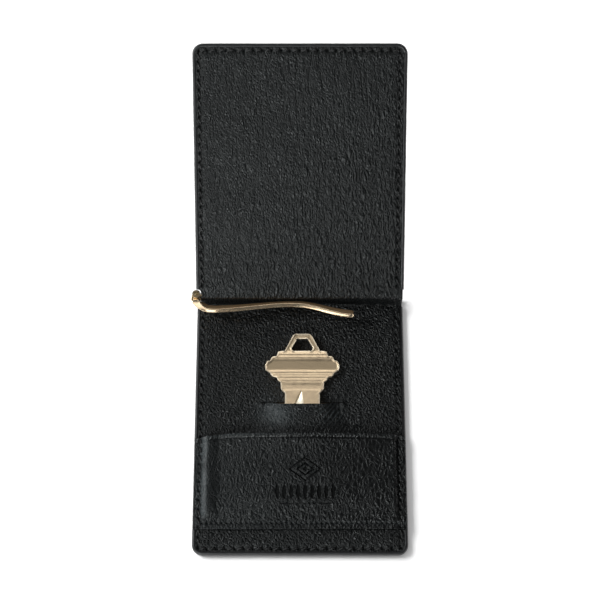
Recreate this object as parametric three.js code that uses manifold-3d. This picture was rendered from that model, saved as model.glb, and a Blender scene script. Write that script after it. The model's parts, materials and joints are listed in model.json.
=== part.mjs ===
// An opened leather bifold money clip: a back panel that lies flat, a spine wall that holds a
// hinged metal clip bar, a raised cover, a card pocket and a slit pocket with a house key.
// Millimetres. X runs along the fold, +Y from the back panel towards the cover, +Z up.
// The origin is the middle of the back panel's outer face, which is the face it rests on.
import * as THREE from "three";
import { mergeVertices } from "three/addons/utils/BufferGeometryUtils.js";
import Module from "manifold-3d";

const wasm = await Module();
wasm.setup();

// Panels
const WIDTH = 80;
const DEPTH = 100.4; // from the near end to the outer face of the spine
const CORNER = 4; // radius of the free corners
const OUTER = 1.1; // outer leather
const BOARD = 0.5; // bonded stiffener
const LINING = 0.8; // lining leather
const LAYER_GAP = 0.1; // glue line between layers
const BOARD_INSET = 1.4; // stiffeners stop short of the edge

// Fold lines: each runs along X
const FOLD_R = 1.6; // half the thickness of the spine wall
const LOW_FOLD_Z = 1.6;
const TOP_FOLD_Z = 11;
const PANEL_START = 1.9; // the flat layers start this far from a fold line
const COVER_REST = 32; // degrees above the table, held by the stiffness of the leather
const COVER_END = 94.9; // end of the cover, measured from its fold line
const COVER_HEEL = 1.6; // radius of the cover's corners at the fold

// Spine wall, layers measured inwards from the outer face
const SPINE_LEFT = -37.6;
const SPINE_RIGHT = 39.5;
const SPINE_OUTER = 0.9;
const SPINE_STRIP = 0.4;
const SPINE_BAR = 0.9;
const SPINE_LINING = 0.7;

// Slit in the lining and the pocket behind it
const KEY_X = 0.9;
const SLIT_Y = 7.7;
const SLIT_HALF = 16; // half the length of the slit
const SLIT_GAP = 0.6;
const NECK_ROOM = 7.3; // half the width of the lining that lies flat on the key

// Key, in its own frame: Y from the slit towards the bow, Z up from its lower face
const KEY_THICK = 2;
const KEY_TILT = 2.29; // degrees
const KEY_Z = 2.68; // lower face at the slit
const NECK_HALF = 6.6;
const NECK_END = -3;
const BLADE_HALF = 4.35;
const BLADE_END = -30;

// Card pocket
const POCKET_TOP = -4.8;
const POCKET_BOTTOM = -40.7;
const POCKET_STITCH_Y = -38.4;
const POCKET_THICK = 1;
const CARD_ROOM = 1.1; // height of the moulded shoulders
const SHOULDER = 36.9; // half the width at the foot of the shoulders

// Stitching
const STITCH_INSET = 2.6;
const THREAD_WIDTH = 0.5;
const THREAD_HEIGHT = 0.25;
const THREAD_LIFT = 0.05;

// Clip
const HINGE_X = -39.9;
const KNUCKLE_R = 1.6;
const PIN_R = 0.65;
const BAR_LOW = 4.4;
const BAR_TOP = 9.2;
const BAR_RIGHT = 34;
const EAR_TOP = 10.9; // the bar's end outside the leather stands taller, and carries the knuckles
const EAR_LOW = 5.9;
const EAR_RIGHT = SPINE_LEFT - 0.1;
const ARM_KNUCKLE_LOW = 7.25;
const ARM_KNUCKLE_TOP = 9.55;
const KNUCKLE_PLAY = 0.15;
const ARM_THICK = 1.65;
const ARM_WIDTH = 3.6;
const ARM_TOP = 10; // height of the middle of the arm's upper edge
const RIVET_XS = { left: -20, middle: 5, right: 30 };
const RIVET_R = 0.8;
const RIVET_HEAD_R = 1.3;
const RIVET_PLAY = 0.08;

// Worked out from the above
const nearY = -DEPTH / 2;
const spineY = DEPTH / 2;
const foldY = spineY - FOLD_R;
const panelEnd = foldY - PANEL_START;
const boardZ = OUTER + LAYER_GAP;
const liningZ = boardZ + BOARD + LAYER_GAP;
const liningTop = liningZ + LINING;
const pocketZ = liningTop + LAYER_GAP;
const keySlope = Math.tan(THREE.MathUtils.degToRad(KEY_TILT));
const stripBack = spineY - SPINE_OUTER - LAYER_GAP;
const barBack = stripBack - SPINE_STRIP - LAYER_GAP;
const barFront = barBack - SPINE_BAR;
const spineFront = spineY - 2 * FOLD_R;
const rivetZ = (BAR_LOW + BAR_TOP) / 2;

const colours = {
  leather: new THREE.MeshStandardMaterial({ color: 0x1d1e20, roughness: 0.55 }),
  lining: new THREE.MeshStandardMaterial({ color: 0x26282b, roughness: 0.5 }),
  board: new THREE.MeshStandardMaterial({ color: 0x6a5a48, roughness: 0.9 }),
  thread: new THREE.MeshStandardMaterial({ color: 0x101010, roughness: 0.7 }),
  gilt: new THREE.MeshStandardMaterial({ color: 0xd9b98a, roughness: 0.2, metalness: 1 }),
  steel: new THREE.MeshStandardMaterial({ color: 0xa0a0a0, roughness: 0.35, metalness: 1 }),
  key: new THREE.MeshStandardMaterial({ color: 0xb9a272, roughness: 0.35, metalness: 1 }),
};

const root = new THREE.Group();
const spine = new THREE.Group();
const cover = new THREE.Group();
cover.position.set(0, foldY, TOP_FOLD_Z);
cover.rotation.x = THREE.MathUtils.degToRad(COVER_REST);
const key = new THREE.Group();
key.position.set(KEY_X, SLIT_Y, KEY_Z);
key.rotation.x = THREE.MathUtils.degToRad(KEY_TILT);
root.add(spine, cover, key);

function addPart(group, name, geometry, material) {
  const mesh = new THREE.Mesh(geometry, material.clone());
  mesh.name = name;
  group.add(mesh);
}

// ---- Solids ----

function solidOf(geometry) {
  const bare = geometry.clone();
  bare.deleteAttribute("normal");
  bare.deleteAttribute("uv");
  const merged = mergeVertices(bare, 1e-4);
  const vertProperties = new Float32Array(merged.attributes.position.array);
  const triVerts = new Uint32Array(merged.index.array);
  return new wasm.Manifold(new wasm.Mesh({ numProp: 3, vertProperties, triVerts }));
}

function geometryOf(solid) {
  const mesh = solid.getMesh();
  const geometry = new THREE.BufferGeometry();
  const points = new THREE.BufferAttribute(new Float32Array(mesh.vertProperties), 3);
  geometry.setAttribute("position", points);
  geometry.setIndex(new THREE.BufferAttribute(new Uint32Array(mesh.triVerts), 1));
  geometry.computeVertexNormals();
  return geometry;
}

function cut(geometry, ...tools) {
  return geometryOf(tools.reduce((left, tool) => left.subtract(solidOf(tool)), solidOf(geometry)));
}

function join(...geometries) {
  return geometryOf(geometries.map(solidOf).reduce((sum, next) => sum.add(next)));
}

// A level slab of this outline.
function slab(shape, z, thickness) {
  const settings = { depth: thickness, bevelEnabled: false, curveSegments: 5 };
  return new THREE.ExtrudeGeometry(shape, settings).translate(0, 0, z);
}

function block(low, high) {
  const size = high.map((value, axis) => value - low[axis]);
  const middle = high.map((value, axis) => (value + low[axis]) / 2);
  return new THREE.BoxGeometry(...size).translate(...middle);
}

// An upright cylinder.
function post(x, y, radius, low, high) {
  const cylinder = new THREE.CylinderGeometry(radius, radius, high - low, 24).rotateX(Math.PI / 2);
  return cylinder.translate(x, y, (low + high) / 2);
}

// A profile of (y, z) points carried along X.
function carried(shape, fromX, toX) {
  const settings = { depth: toX - fromX, bevelEnabled: false, curveSegments: 10 };
  const along = new THREE.ExtrudeGeometry(shape, settings);
  const turn = new THREE.Matrix4().makeBasis(
    new THREE.Vector3(0, 1, 0),
    new THREE.Vector3(0, 0, 1),
    new THREE.Vector3(1, 0, 0),
  );
  return along.applyMatrix4(turn).translate(fromX, 0, 0);
}

// A closed solid through rings of points, with flat ends.
function lofted(rings) {
  const size = rings[0].length;
  const index = [];
  for (let ring = 0; ring + 1 < rings.length; ring++) {
    for (let i = 0; i < size; i++) {
      const a = ring * size + i;
      const b = ring * size + ((i + 1) % size);
      index.push(a, b, b + size, a, b + size, a + size);
    }
  }
  const last = (rings.length - 1) * size;
  for (let i = 1; i + 1 < size; i++) {
    index.push(0, i + 1, i);
    index.push(last, last + i, last + i + 1);
  }
  const geometry = new THREE.BufferGeometry().setFromPoints(rings.flat());
  geometry.setIndex(index);
  if (solidOf(geometry).volume() < 0) index.reverse();
  geometry.setIndex(index);
  return geometry;
}

// A sheet of even thickness, moulded upwards by lift(x, y) on a grid. Cells in `opening` are cut out.
function mouldedSheet(xs, ys, base, thickness, lift, opening = () => false) {
  const points = [];
  for (const offset of [0, thickness]) {
    for (const y of ys) {
      for (const x of xs) {
        points.push(new THREE.Vector3(x, y, base + offset + lift(x, y)));
      }
    }
  }
  const half = points.length / 2;
  const inGrid = (i, j) => i >= 0 && j >= 0 && i + 1 < xs.length && j + 1 < ys.length;
  const isOpen = (i, j) => opening((xs[i] + xs[i + 1]) / 2, (ys[j] + ys[j + 1]) / 2);
  const isCell = (i, j) => inGrid(i, j) && !isOpen(i, j);
  const index = [];
  const quad = (a, b, c, d) => index.push(a, b, c, a, c, d);
  for (let j = 0; j + 1 < ys.length; j++) {
    for (let i = 0; i + 1 < xs.length; i++) {
      if (!isCell(i, j)) continue;
      const a = j * xs.length + i;
      const b = a + 1;
      const c = b + xs.length;
      const d = a + xs.length;
      quad(a + half, b + half, c + half, d + half);
      quad(a, d, c, b);
      if (!isCell(i, j - 1)) quad(a, b, b + half, a + half);
      if (!isCell(i + 1, j)) quad(b, c, c + half, b + half);
      if (!isCell(i, j + 1)) quad(c, d, d + half, c + half);
      if (!isCell(i - 1, j)) quad(d, a, a + half, d + half);
    }
  }
  const geometry = new THREE.BufferGeometry().setFromPoints(points);
  geometry.setIndex(index);
  return geometry;
}

// A rectangle whose two corners at yRound have the large radius and the other two the small one.
function panelOutline(halfWidth, yRound, ySmall, large, small) {
  const inwards = Math.sign(ySmall - yRound);
  const shape = new THREE.Shape();
  shape.moveTo(-halfWidth, yRound + inwards * large);
  shape.quadraticCurveTo(-halfWidth, yRound, -halfWidth + large, yRound);
  shape.lineTo(halfWidth - large, yRound);
  shape.quadraticCurveTo(halfWidth, yRound, halfWidth, yRound + inwards * large);
  shape.lineTo(halfWidth, ySmall - inwards * small);
  shape.lineTo(halfWidth - small, ySmall);
  shape.lineTo(-halfWidth + small, ySmall);
  shape.lineTo(-halfWidth, ySmall - inwards * small);
  return shape;
}

// A flat thread of stitches along a route of points, each at the level of the leather under it.
function thread(route) {
  const up = new THREE.Vector3(0, 0, 1);
  const rings = route.map((point, i) => {
    const before = route[Math.max(i - 1, 0)];
    const after = route[Math.min(i + 1, route.length - 1)];
    const along = after.clone().sub(before).setZ(0).normalize();
    const across = up.clone().cross(along).multiplyScalar(THREAD_WIDTH / 2);
    const low = point.clone().addScaledVector(up, THREAD_LIFT);
    const high = low.clone().addScaledVector(up, THREAD_HEIGHT);
    const lower = [low.clone().sub(across), low.clone().add(across)];
    const upper = [high.clone().add(across), high.clone().sub(across)];
    return [...lower, ...upper];
  });
  return lofted(rings);
}

// The plan of a stitch line round three sides, from one end near the fold to the other.
function stitchRoute(foldEnd, freeEnd, level) {
  const halfWidth = WIDTH / 2 - STITCH_INSET;
  const inwards = Math.sign(foldEnd - freeEnd);
  const freeLine = freeEnd + inwards * STITCH_INSET;
  const bend = CORNER - STITCH_INSET;
  const left = [];
  for (const y of level.rows) left.push([-halfWidth, y]);
  left.push([-halfWidth, freeLine + inwards * bend]);
  left.push([-halfWidth + bend * 0.3, freeLine + inwards * bend * 0.3]);
  left.push([-halfWidth + bend, freeLine]);
  const right = left.map(([x, y]) => [-x, y]).reverse();
  return [...left, ...right].map(([x, y]) => new THREE.Vector3(x, y, level.at(y)));
}

// ---- Leather moulded over what lies under it ----

// How far the lining is raised over the key's blade, seen from above.
function keyLift(x, y) {
  const depth = SLIT_Y - y;
  const bladeLength = -BLADE_END;
  if (depth < 0) return 0;
  const bladeTop = KEY_Z + KEY_THICK - keySlope * depth;
  const full = bladeTop + 0.12 - liningZ;
  const beyond = THREE.MathUtils.smoothstep(depth, bladeLength + 0.8, bladeLength + 8);
  const aside = THREE.MathUtils.smoothstep(Math.abs(x - KEY_X), NECK_ROOM, SLIT_HALF);
  return full * (1 - beyond) * (1 - aside);
}

// The card pocket stands up at its sides and end, and rides over the key as well.
function pocketLift(x, y) {
  const side = 1 - THREE.MathUtils.smoothstep(Math.abs(x), SHOULDER - 2.4, SHOULDER);
  const end = THREE.MathUtils.smoothstep(y, POCKET_STITCH_Y + 0.6, POCKET_STITCH_Y + 4);
  const room = CARD_ROOM * side * end;
  return Math.pow(Math.pow(room, 4) + Math.pow(keyLift(x, y), 4), 1 / 4);
}

const keyColumns = [-16, -14, -11.6, -9.4, -7.3, 0, 7.3, 9.4, 11.6, 14, 16].map((x) => x + KEY_X);

// ---- Back panel ----

const backOutline = panelOutline(WIDTH / 2, nearY, panelEnd, CORNER, 0.8);
addPart(root, "back_outer_leather", slab(backOutline, 0, OUTER), colours.leather);

const windowHalf = 6;
const windowFar = SLIT_Y - 14;
const windowNear = SLIT_Y - 33;
const boardHalf = WIDTH / 2 - BOARD_INSET;
const boardOutline = panelOutline(boardHalf, nearY + BOARD_INSET, panelEnd - BOARD_INSET, CORNER - 1, 0.5);
const bladeWindow = new THREE.Path();
bladeWindow.moveTo(KEY_X - windowHalf, windowNear);
bladeWindow.lineTo(KEY_X + windowHalf, windowNear);
bladeWindow.lineTo(KEY_X + windowHalf, windowFar);
bladeWindow.lineTo(KEY_X - windowHalf, windowFar);
boardOutline.holes.push(bladeWindow);
addPart(root, "back_stiffener", slab(boardOutline, boardZ, BOARD), colours.board);

const backingPlay = 0.3;
const backingThick = 0.15;
const keyBacking = block(
  [KEY_X - windowHalf + backingPlay, windowNear + backingPlay, boardZ],
  [KEY_X + windowHalf - backingPlay, windowFar - backingPlay, boardZ + backingThick],
);
addPart(root, "key_pocket_backing", keyBacking, colours.lining);

const liningColumns = [-WIDTH / 2, -28, ...keyColumns, 28, WIDTH / 2];
const slitLow = SLIT_Y - SLIT_GAP / 2;
const slitHigh = SLIT_Y + SLIT_GAP / 2;
const liningRows = [nearY, -34, -30.6, -28, -25.4, -22.3, -14, -6, slitLow - 6, slitLow, slitHigh, panelEnd];
const inSlit = (x, y) => Math.abs(x - KEY_X) < SLIT_HALF && y > slitLow && y < slitHigh;
const liningSheet = mouldedSheet(liningColumns, liningRows, liningZ, LINING, keyLift, inSlit);
const backLining = solidOf(liningSheet).intersect(solidOf(slab(backOutline, -1, 20)));
addPart(root, "back_lining", geometryOf(backLining), colours.lining);

const shoulderColumns = [SHOULDER, SHOULDER - 0.8, SHOULDER - 1.6, SHOULDER - 2.4, 28];
const pocketColumns = [
  -WIDTH / 2,
  ...shoulderColumns.map((x) => -x),
  ...keyColumns,
  ...[...shoulderColumns].reverse(),
  WIDTH / 2,
];
const pocketEndRows = [POCKET_BOTTOM, POCKET_STITCH_Y + 0.6, -36.5, -35.2, -34.2];
const pocketRows = [...pocketEndRows, -30.6, -28, -25.4, -22.3, -14, POCKET_TOP];
const pocketSheet = mouldedSheet(pocketColumns, pocketRows, pocketZ, POCKET_THICK, pocketLift);
addPart(root, "card_pocket", pocketSheet, colours.lining);

// The thread lies on the lining, and on the card pocket where that covers it.
const stitchStart = panelEnd - 0.8;
const step = 0.1; // the thread stays this far outside the pocket's cut edges
const onPocket = (y) => y < POCKET_TOP + 2 * step && y > POCKET_BOTTOM - 2 * step;
const backLevel = {
  rows: [
    stitchStart,
    ...[4, 1].map((steps) => POCKET_TOP + steps * step),
    ...[1, 4].map((steps) => POCKET_BOTTOM - steps * step),
  ],
  at: (y) => (onPocket(y) ? pocketZ + POCKET_THICK : liningTop),
};
addPart(root, "back_stitching", thread(stitchRoute(panelEnd, nearY, backLevel)), colours.thread);

const pocketSeamHalf = WIDTH / 2 - STITCH_INSET - 0.8;
const pocketSeam = [-pocketSeamHalf, pocketSeamHalf].map(
  (x) => new THREE.Vector3(x, POCKET_STITCH_Y, pocketZ + POCKET_THICK),
);
addPart(root, "card_pocket_stitching", thread(pocketSeam), colours.thread);

// ---- Spine wall ----

// The outer leather wraps round both folds, and the lining closes the channel that it makes.
const inner = FOLD_R - SPINE_OUTER;
const hookEnd = THREE.MathUtils.degToRad(150);
const lipEnd = THREE.MathUtils.degToRad(100);
const channel = new THREE.Shape();
channel.absarc(foldY, LOW_FOLD_Z, FOLD_R, -hookEnd, 0, false);
channel.absarc(foldY, TOP_FOLD_Z, FOLD_R, 0, lipEnd, false);
channel.absarc(foldY, TOP_FOLD_Z, inner, lipEnd, 0, true);
channel.absarc(foldY, LOW_FOLD_Z, inner, 0, -hookEnd, true);
addPart(spine, "spine_outer_leather", carried(channel, SPINE_LEFT, SPINE_RIGHT), colours.leather);

const spineLiningLow = 1.5;
const spineLining = block(
  [SPINE_LEFT, spineFront, spineLiningLow],
  [SPINE_RIGHT, spineFront + SPINE_LINING, TOP_FOLD_Z],
);
addPart(spine, "spine_lining", spineLining, colours.lining);

// ---- Clip: backing strip, bar, leaf spring and rivets inside the spine wall ----

// A countersunk rivet along Y. Its flat heads are flush with the strip and with the bar.
function rivet(x, play) {
  const length = stripBack - barFront + 2 * play;
  const head = RIVET_HEAD_R + play;
  const shank = RIVET_R + play;
  const sink = 0.25 + 2 * play;
  const profile = [
    [0, 0],
    [head, 0],
    [head, play + 0.01],
    [shank, sink],
    [shank, length - sink],
    [head, length - play - 0.01],
    [head, length],
    [0, length],
  ];
  const turned = new THREE.LatheGeometry(
    profile.map(([r, y]) => new THREE.Vector2(r, y)),
    20,
  );
  return turned.translate(x, barFront - play, rivetZ);
}

const rivetHoles = Object.values(RIVET_XS).map((x) => rivet(x, RIVET_PLAY));
const strip = block([-36, stripBack - SPINE_STRIP, BAR_LOW - 1], [37, stripBack, BAR_TOP]);
addPart(spine, "clip_backing_strip", cut(strip, ...rivetHoles), colours.board);

const springEnd = -24;
const footLength = 2;
const springLow = 7.6;
const springHigh = 8.9;
const footDrop = 1.2;
const springPlay = 0.1;
const springThick = 0.25;
const knuckleSide = HINGE_X + KNUCKLE_R;

// The leaf with its foot between these two faces, or its channel when play is more than nothing.
function leaf(fromX, front, back, play) {
  const blade = block([fromX, front, springLow - play], [springEnd + play, back, springHigh + play]);
  const foot = block(
    [springEnd - footLength - play, front, springLow - footDrop - play],
    [springEnd + play, back, springHigh + play],
  );
  return join(blade, foot);
}

const hingePlay = KNUCKLE_R + 0.3;
const bar = join(
  block([EAR_RIGHT - 1, barFront, BAR_LOW], [BAR_RIGHT, barBack, BAR_TOP]),
  block([HINGE_X, barFront, EAR_LOW], [EAR_RIGHT, barBack, EAR_TOP]),
  post(HINGE_X, foldY, KNUCKLE_R, EAR_LOW, EAR_TOP),
);
const slotLow = ARM_KNUCKLE_LOW - KNUCKLE_PLAY;
const slotTop = ARM_KNUCKLE_TOP + KNUCKLE_PLAY;
const knuckleSlot = post(HINGE_X, foldY, hingePlay, slotLow, slotTop);
const pinPlay = 0.05;
const pinHole = post(HINGE_X, foldY, PIN_R + pinPlay, EAR_LOW - 1, EAR_TOP + 1);
const springFront = barFront + springPlay;
const springBack = springFront + springThick;
const springChannel = leaf(knuckleSide - 0.5, barFront - 1, springBack + springPlay, springPlay);
const clipBar = cut(bar, knuckleSlot, pinHole, springChannel, ...rivetHoles);
addPart(spine, "clip_back_bar", clipBar, colours.gilt);
addPart(spine, "clip_leaf_spring", leaf(knuckleSide + 0.1, springFront, springBack, 0), colours.steel);

const pin = post(HINGE_X, foldY, PIN_R, EAR_LOW, EAR_TOP);
addPart(spine, "clip_hinge_pin", pin, colours.steel);

for (const [place, x] of Object.entries(RIVET_XS)) {
  addPart(spine, "clip_rivet_" + place, rivet(x, 0), colours.steel);
}

// ---- Clip arm ----

// The upper edge of the arm in plan, from the knuckle round the bend, along the fold and out to
// the flared tip: X, distance in front of the spine's outer face, lean in degrees.
const armRoute = [
  [-41.1, 1.6, 0],
  [-41.2, 3.1, 0],
  [-40.9, 4.1, 8],
  [-40, 5.4, 20],
  [-38.6, 6.7, 32],
  [-36.3, 7.9, 42],
  [-33, 8.35, 44],
  [-29, 8.15, 42],
  [-22.8, 7.55, 37],
  [-15.5, 6.75, 34],
  [-9, 6.15, 33],
  [-3.6, 5.95, 33],
  [1, 6.15, 34],
  [5, 6.9, 36],
  [9.5, 8.2, 40],
  [14, 9.45, 44],
  [18, 10.2, 46],
  [20.6, 10.4, 46],
];
const neckStations = 2; // the first stations are as low as the knuckle

function armRings() {
  const at = (i) => new THREE.Vector3(armRoute[i][0], spineY - armRoute[i][1], 0);
  const up = new THREE.Vector3(0, 0, 1);
  return armRoute.map(([, , leanDegrees], i) => {
    const isNeck = i < neckStations;
    const top = isNeck ? ARM_KNUCKLE_TOP : ARM_TOP;
    const width = isNeck ? ARM_KNUCKLE_TOP - ARM_KNUCKLE_LOW : ARM_WIDTH;
    const along = at(Math.min(i + 1, armRoute.length - 1)).sub(at(Math.max(i - 1, 0))).normalize();
    const outwards = along.clone().cross(up);
    const lean = THREE.MathUtils.degToRad(leanDegrees);
    const rise = up.clone().multiplyScalar(Math.cos(lean)).addScaledVector(outwards, Math.sin(lean));
    const through = outwards.clone().multiplyScalar(Math.cos(lean)).addScaledVector(up, -Math.sin(lean));
    const middle = at(i).setZ(top);
    const half = ARM_THICK / 2;
    const upperOut = middle.clone().addScaledVector(through, half);
    const upperIn = middle.clone().addScaledVector(through, -half);
    const lowerIn = upperIn.clone().addScaledVector(rise, -width);
    const lowerOut = upperOut.clone().addScaledVector(rise, -width);
    return [upperOut, upperIn, lowerIn, lowerOut];
  });
}

const armKnuckle = post(HINGE_X, foldY, KNUCKLE_R, ARM_KNUCKLE_LOW, ARM_KNUCKLE_TOP);
const armHole = post(HINGE_X, foldY, PIN_R + 0.08, ARM_KNUCKLE_LOW - 1, ARM_KNUCKLE_TOP + 1);
addPart(spine, "clip_arm", cut(join(lofted(armRings()), armKnuckle), armHole), colours.gilt);

// ---- Cover, drawn flat from its fold line with its inner face at Z = 0 ----

const coverOutline = panelOutline(WIDTH / 2, COVER_END, PANEL_START, CORNER, COVER_HEEL);
const coverBoardLow = -LINING - LAYER_GAP - BOARD;
const coverOuterLow = coverBoardLow - LAYER_GAP - OUTER;
addPart(cover, "cover_lining", slab(coverOutline, -LINING, LINING), colours.lining);

const coverBoardStart = PANEL_START + BOARD_INSET;
const coverBoard = panelOutline(boardHalf, COVER_END - BOARD_INSET, coverBoardStart, CORNER - 1, 0.5);
addPart(cover, "cover_stiffener", slab(coverBoard, coverBoardLow, BOARD), colours.board);
addPart(cover, "cover_outer_leather", slab(coverOutline, coverOuterLow, OUTER), colours.leather);

const coverLevel = { rows: [PANEL_START + 1.4], at: () => 0 };
const coverThread = thread(stitchRoute(PANEL_START, COVER_END, coverLevel));
addPart(cover, "cover_stitching", coverThread, colours.thread);

// ---- Key ----

// One side of the bow from the middle of the loop's end: distance from the centre line, place along it.
const bowSide = [
  [3, 26.5],
  [4, 26],
  [6.4, 19.7],
  [9.2, 19.6],
  [9.9, 17.8],
  [11.6, 17.5],
  [12.4, 16],
  [13.4, 15.9],
  [14.2, 14.3],
  [14.1, 12.4],
  [12.4, 11.2],
  [11.4, 9.7],
  [9.7, 9.2],
  [9.3, 8],
  [8.3, 7.5],
  [8.1, 4.7],
  [NECK_HALF, 3.3],
];
// The bitting: places of the notches along the blade and how deep they are.
const notches = [
  [-7.5, 1.6],
  [-11.4, 2.8],
  [-15.3, 1.2],
  [-19.2, 2.4],
  [-23.1, 1.8],
];
const notchFlat = 0.6; // half the width of a notch's floor

function keyOutline() {
  const shape = new THREE.Shape();
  const [first, ...others] = bowSide;
  shape.moveTo(-first[0], first[1]);
  for (const [half, y] of others) shape.lineTo(-half, y);
  shape.lineTo(-NECK_HALF, NECK_END);
  shape.lineTo(-BLADE_HALF, NECK_END);
  shape.lineTo(-BLADE_HALF, BLADE_END + 3);
  shape.lineTo(-1, BLADE_END);
  shape.lineTo(1, BLADE_END);
  shape.lineTo(BLADE_HALF, BLADE_END + 3);
  for (const [y, depth] of [...notches].reverse()) {
    shape.lineTo(BLADE_HALF, y - notchFlat - depth * 0.45);
    shape.lineTo(BLADE_HALF - depth, y - notchFlat);
    shape.lineTo(BLADE_HALF - depth, y + notchFlat);
    shape.lineTo(BLADE_HALF, y + notchFlat + depth * 0.45);
  }
  shape.lineTo(BLADE_HALF, NECK_END);
  shape.lineTo(NECK_HALF, NECK_END);
  for (const [half, y] of [...others].reverse()) shape.lineTo(half, y);
  shape.lineTo(first[0], first[1]);
  const hole = new THREE.Path();
  hole.moveTo(-1.9, 24.4);
  hole.lineTo(-3.8, 21.4);
  hole.lineTo(-3.8, 19.5);
  hole.lineTo(3.8, 19.5);
  hole.lineTo(3.8, 21.4);
  hole.lineTo(1.9, 24.4);
  shape.holes.push(hole);
  return shape;
}

const grooveHalf = 0.9;
const grooveDepth = 0.6;
const groove = block(
  [-grooveHalf, BLADE_END - 1, KEY_THICK - grooveDepth],
  [grooveHalf, 4.3, KEY_THICK + 1],
);
addPart(key, "house_key", cut(slab(keyOutline(), 0, KEY_THICK), groove), colours.key);

export default root;
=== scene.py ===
"""The looks of an opened leather bifold money clip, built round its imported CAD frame.

Shapes are worked out in millimetres in the frame's own axes (X along the fold, +Y towards the
cover, +Z up) and become metres when a mesh is made. "Place" functions carry a panel's own plan,
x across and y along, with a height above its inner face, into the frame.
"""

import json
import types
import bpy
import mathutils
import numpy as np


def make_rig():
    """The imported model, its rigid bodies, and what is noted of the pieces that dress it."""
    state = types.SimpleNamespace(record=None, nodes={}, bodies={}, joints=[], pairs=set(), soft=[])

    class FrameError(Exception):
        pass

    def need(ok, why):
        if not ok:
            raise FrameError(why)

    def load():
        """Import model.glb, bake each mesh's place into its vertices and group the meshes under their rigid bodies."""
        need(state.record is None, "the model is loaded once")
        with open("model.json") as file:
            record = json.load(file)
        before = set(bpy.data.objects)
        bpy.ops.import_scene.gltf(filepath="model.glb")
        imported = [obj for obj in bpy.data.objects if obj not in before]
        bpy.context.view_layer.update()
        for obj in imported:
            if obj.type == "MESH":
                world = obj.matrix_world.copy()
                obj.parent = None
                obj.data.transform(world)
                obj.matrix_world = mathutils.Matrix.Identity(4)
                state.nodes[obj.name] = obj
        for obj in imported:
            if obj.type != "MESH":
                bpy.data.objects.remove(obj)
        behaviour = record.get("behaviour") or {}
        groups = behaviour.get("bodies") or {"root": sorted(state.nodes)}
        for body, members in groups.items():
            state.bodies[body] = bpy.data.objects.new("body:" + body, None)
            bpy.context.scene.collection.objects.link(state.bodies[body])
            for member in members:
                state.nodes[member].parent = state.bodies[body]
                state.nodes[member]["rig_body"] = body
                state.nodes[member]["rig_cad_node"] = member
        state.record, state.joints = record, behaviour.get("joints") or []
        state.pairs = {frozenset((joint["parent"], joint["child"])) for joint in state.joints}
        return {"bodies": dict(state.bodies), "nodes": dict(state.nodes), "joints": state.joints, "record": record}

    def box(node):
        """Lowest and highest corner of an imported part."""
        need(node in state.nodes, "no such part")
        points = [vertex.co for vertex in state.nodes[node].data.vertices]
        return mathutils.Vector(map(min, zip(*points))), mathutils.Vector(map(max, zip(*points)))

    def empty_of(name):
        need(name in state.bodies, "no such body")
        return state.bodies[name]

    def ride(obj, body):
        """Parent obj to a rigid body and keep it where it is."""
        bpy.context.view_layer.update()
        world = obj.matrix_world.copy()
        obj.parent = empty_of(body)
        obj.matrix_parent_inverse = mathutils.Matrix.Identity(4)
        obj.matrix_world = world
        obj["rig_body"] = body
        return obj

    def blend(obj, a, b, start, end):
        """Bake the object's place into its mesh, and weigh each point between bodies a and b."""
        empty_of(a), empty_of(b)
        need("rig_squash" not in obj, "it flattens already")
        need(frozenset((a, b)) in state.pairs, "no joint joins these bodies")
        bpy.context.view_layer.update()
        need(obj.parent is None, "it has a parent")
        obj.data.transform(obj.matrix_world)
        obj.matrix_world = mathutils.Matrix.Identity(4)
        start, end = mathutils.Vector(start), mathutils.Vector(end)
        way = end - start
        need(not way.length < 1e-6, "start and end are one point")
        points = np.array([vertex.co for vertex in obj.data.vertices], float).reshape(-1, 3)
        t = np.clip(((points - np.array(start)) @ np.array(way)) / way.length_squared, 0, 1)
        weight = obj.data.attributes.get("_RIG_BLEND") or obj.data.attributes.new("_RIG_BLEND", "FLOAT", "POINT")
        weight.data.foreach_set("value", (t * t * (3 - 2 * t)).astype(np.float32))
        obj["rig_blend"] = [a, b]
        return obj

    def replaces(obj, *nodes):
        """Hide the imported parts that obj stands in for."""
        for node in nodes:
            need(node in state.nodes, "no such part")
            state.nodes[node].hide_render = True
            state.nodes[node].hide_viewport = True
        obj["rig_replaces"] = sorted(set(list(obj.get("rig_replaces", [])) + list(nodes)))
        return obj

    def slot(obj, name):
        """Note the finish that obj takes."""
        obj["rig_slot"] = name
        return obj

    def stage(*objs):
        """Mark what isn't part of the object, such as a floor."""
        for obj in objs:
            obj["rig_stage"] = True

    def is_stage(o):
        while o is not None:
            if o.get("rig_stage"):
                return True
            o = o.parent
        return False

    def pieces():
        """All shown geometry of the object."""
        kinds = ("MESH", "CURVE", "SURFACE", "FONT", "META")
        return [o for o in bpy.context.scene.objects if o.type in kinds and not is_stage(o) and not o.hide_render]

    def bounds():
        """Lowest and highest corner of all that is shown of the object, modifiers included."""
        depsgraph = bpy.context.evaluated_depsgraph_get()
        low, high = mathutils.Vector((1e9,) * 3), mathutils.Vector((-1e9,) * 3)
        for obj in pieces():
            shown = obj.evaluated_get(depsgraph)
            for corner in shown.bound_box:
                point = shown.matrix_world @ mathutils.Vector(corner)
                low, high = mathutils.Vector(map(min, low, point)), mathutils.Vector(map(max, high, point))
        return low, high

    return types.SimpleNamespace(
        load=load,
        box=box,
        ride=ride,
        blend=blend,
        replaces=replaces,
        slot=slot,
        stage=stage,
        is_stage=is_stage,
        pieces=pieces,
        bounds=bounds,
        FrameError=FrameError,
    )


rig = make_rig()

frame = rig.load()

import json
import math

import bmesh
import bpy
import numpy as np
from mathutils import Vector
from mathutils.geometry import delaunay_2d_cdt

CAD_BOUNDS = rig.bounds()
MM = 0.001


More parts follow.
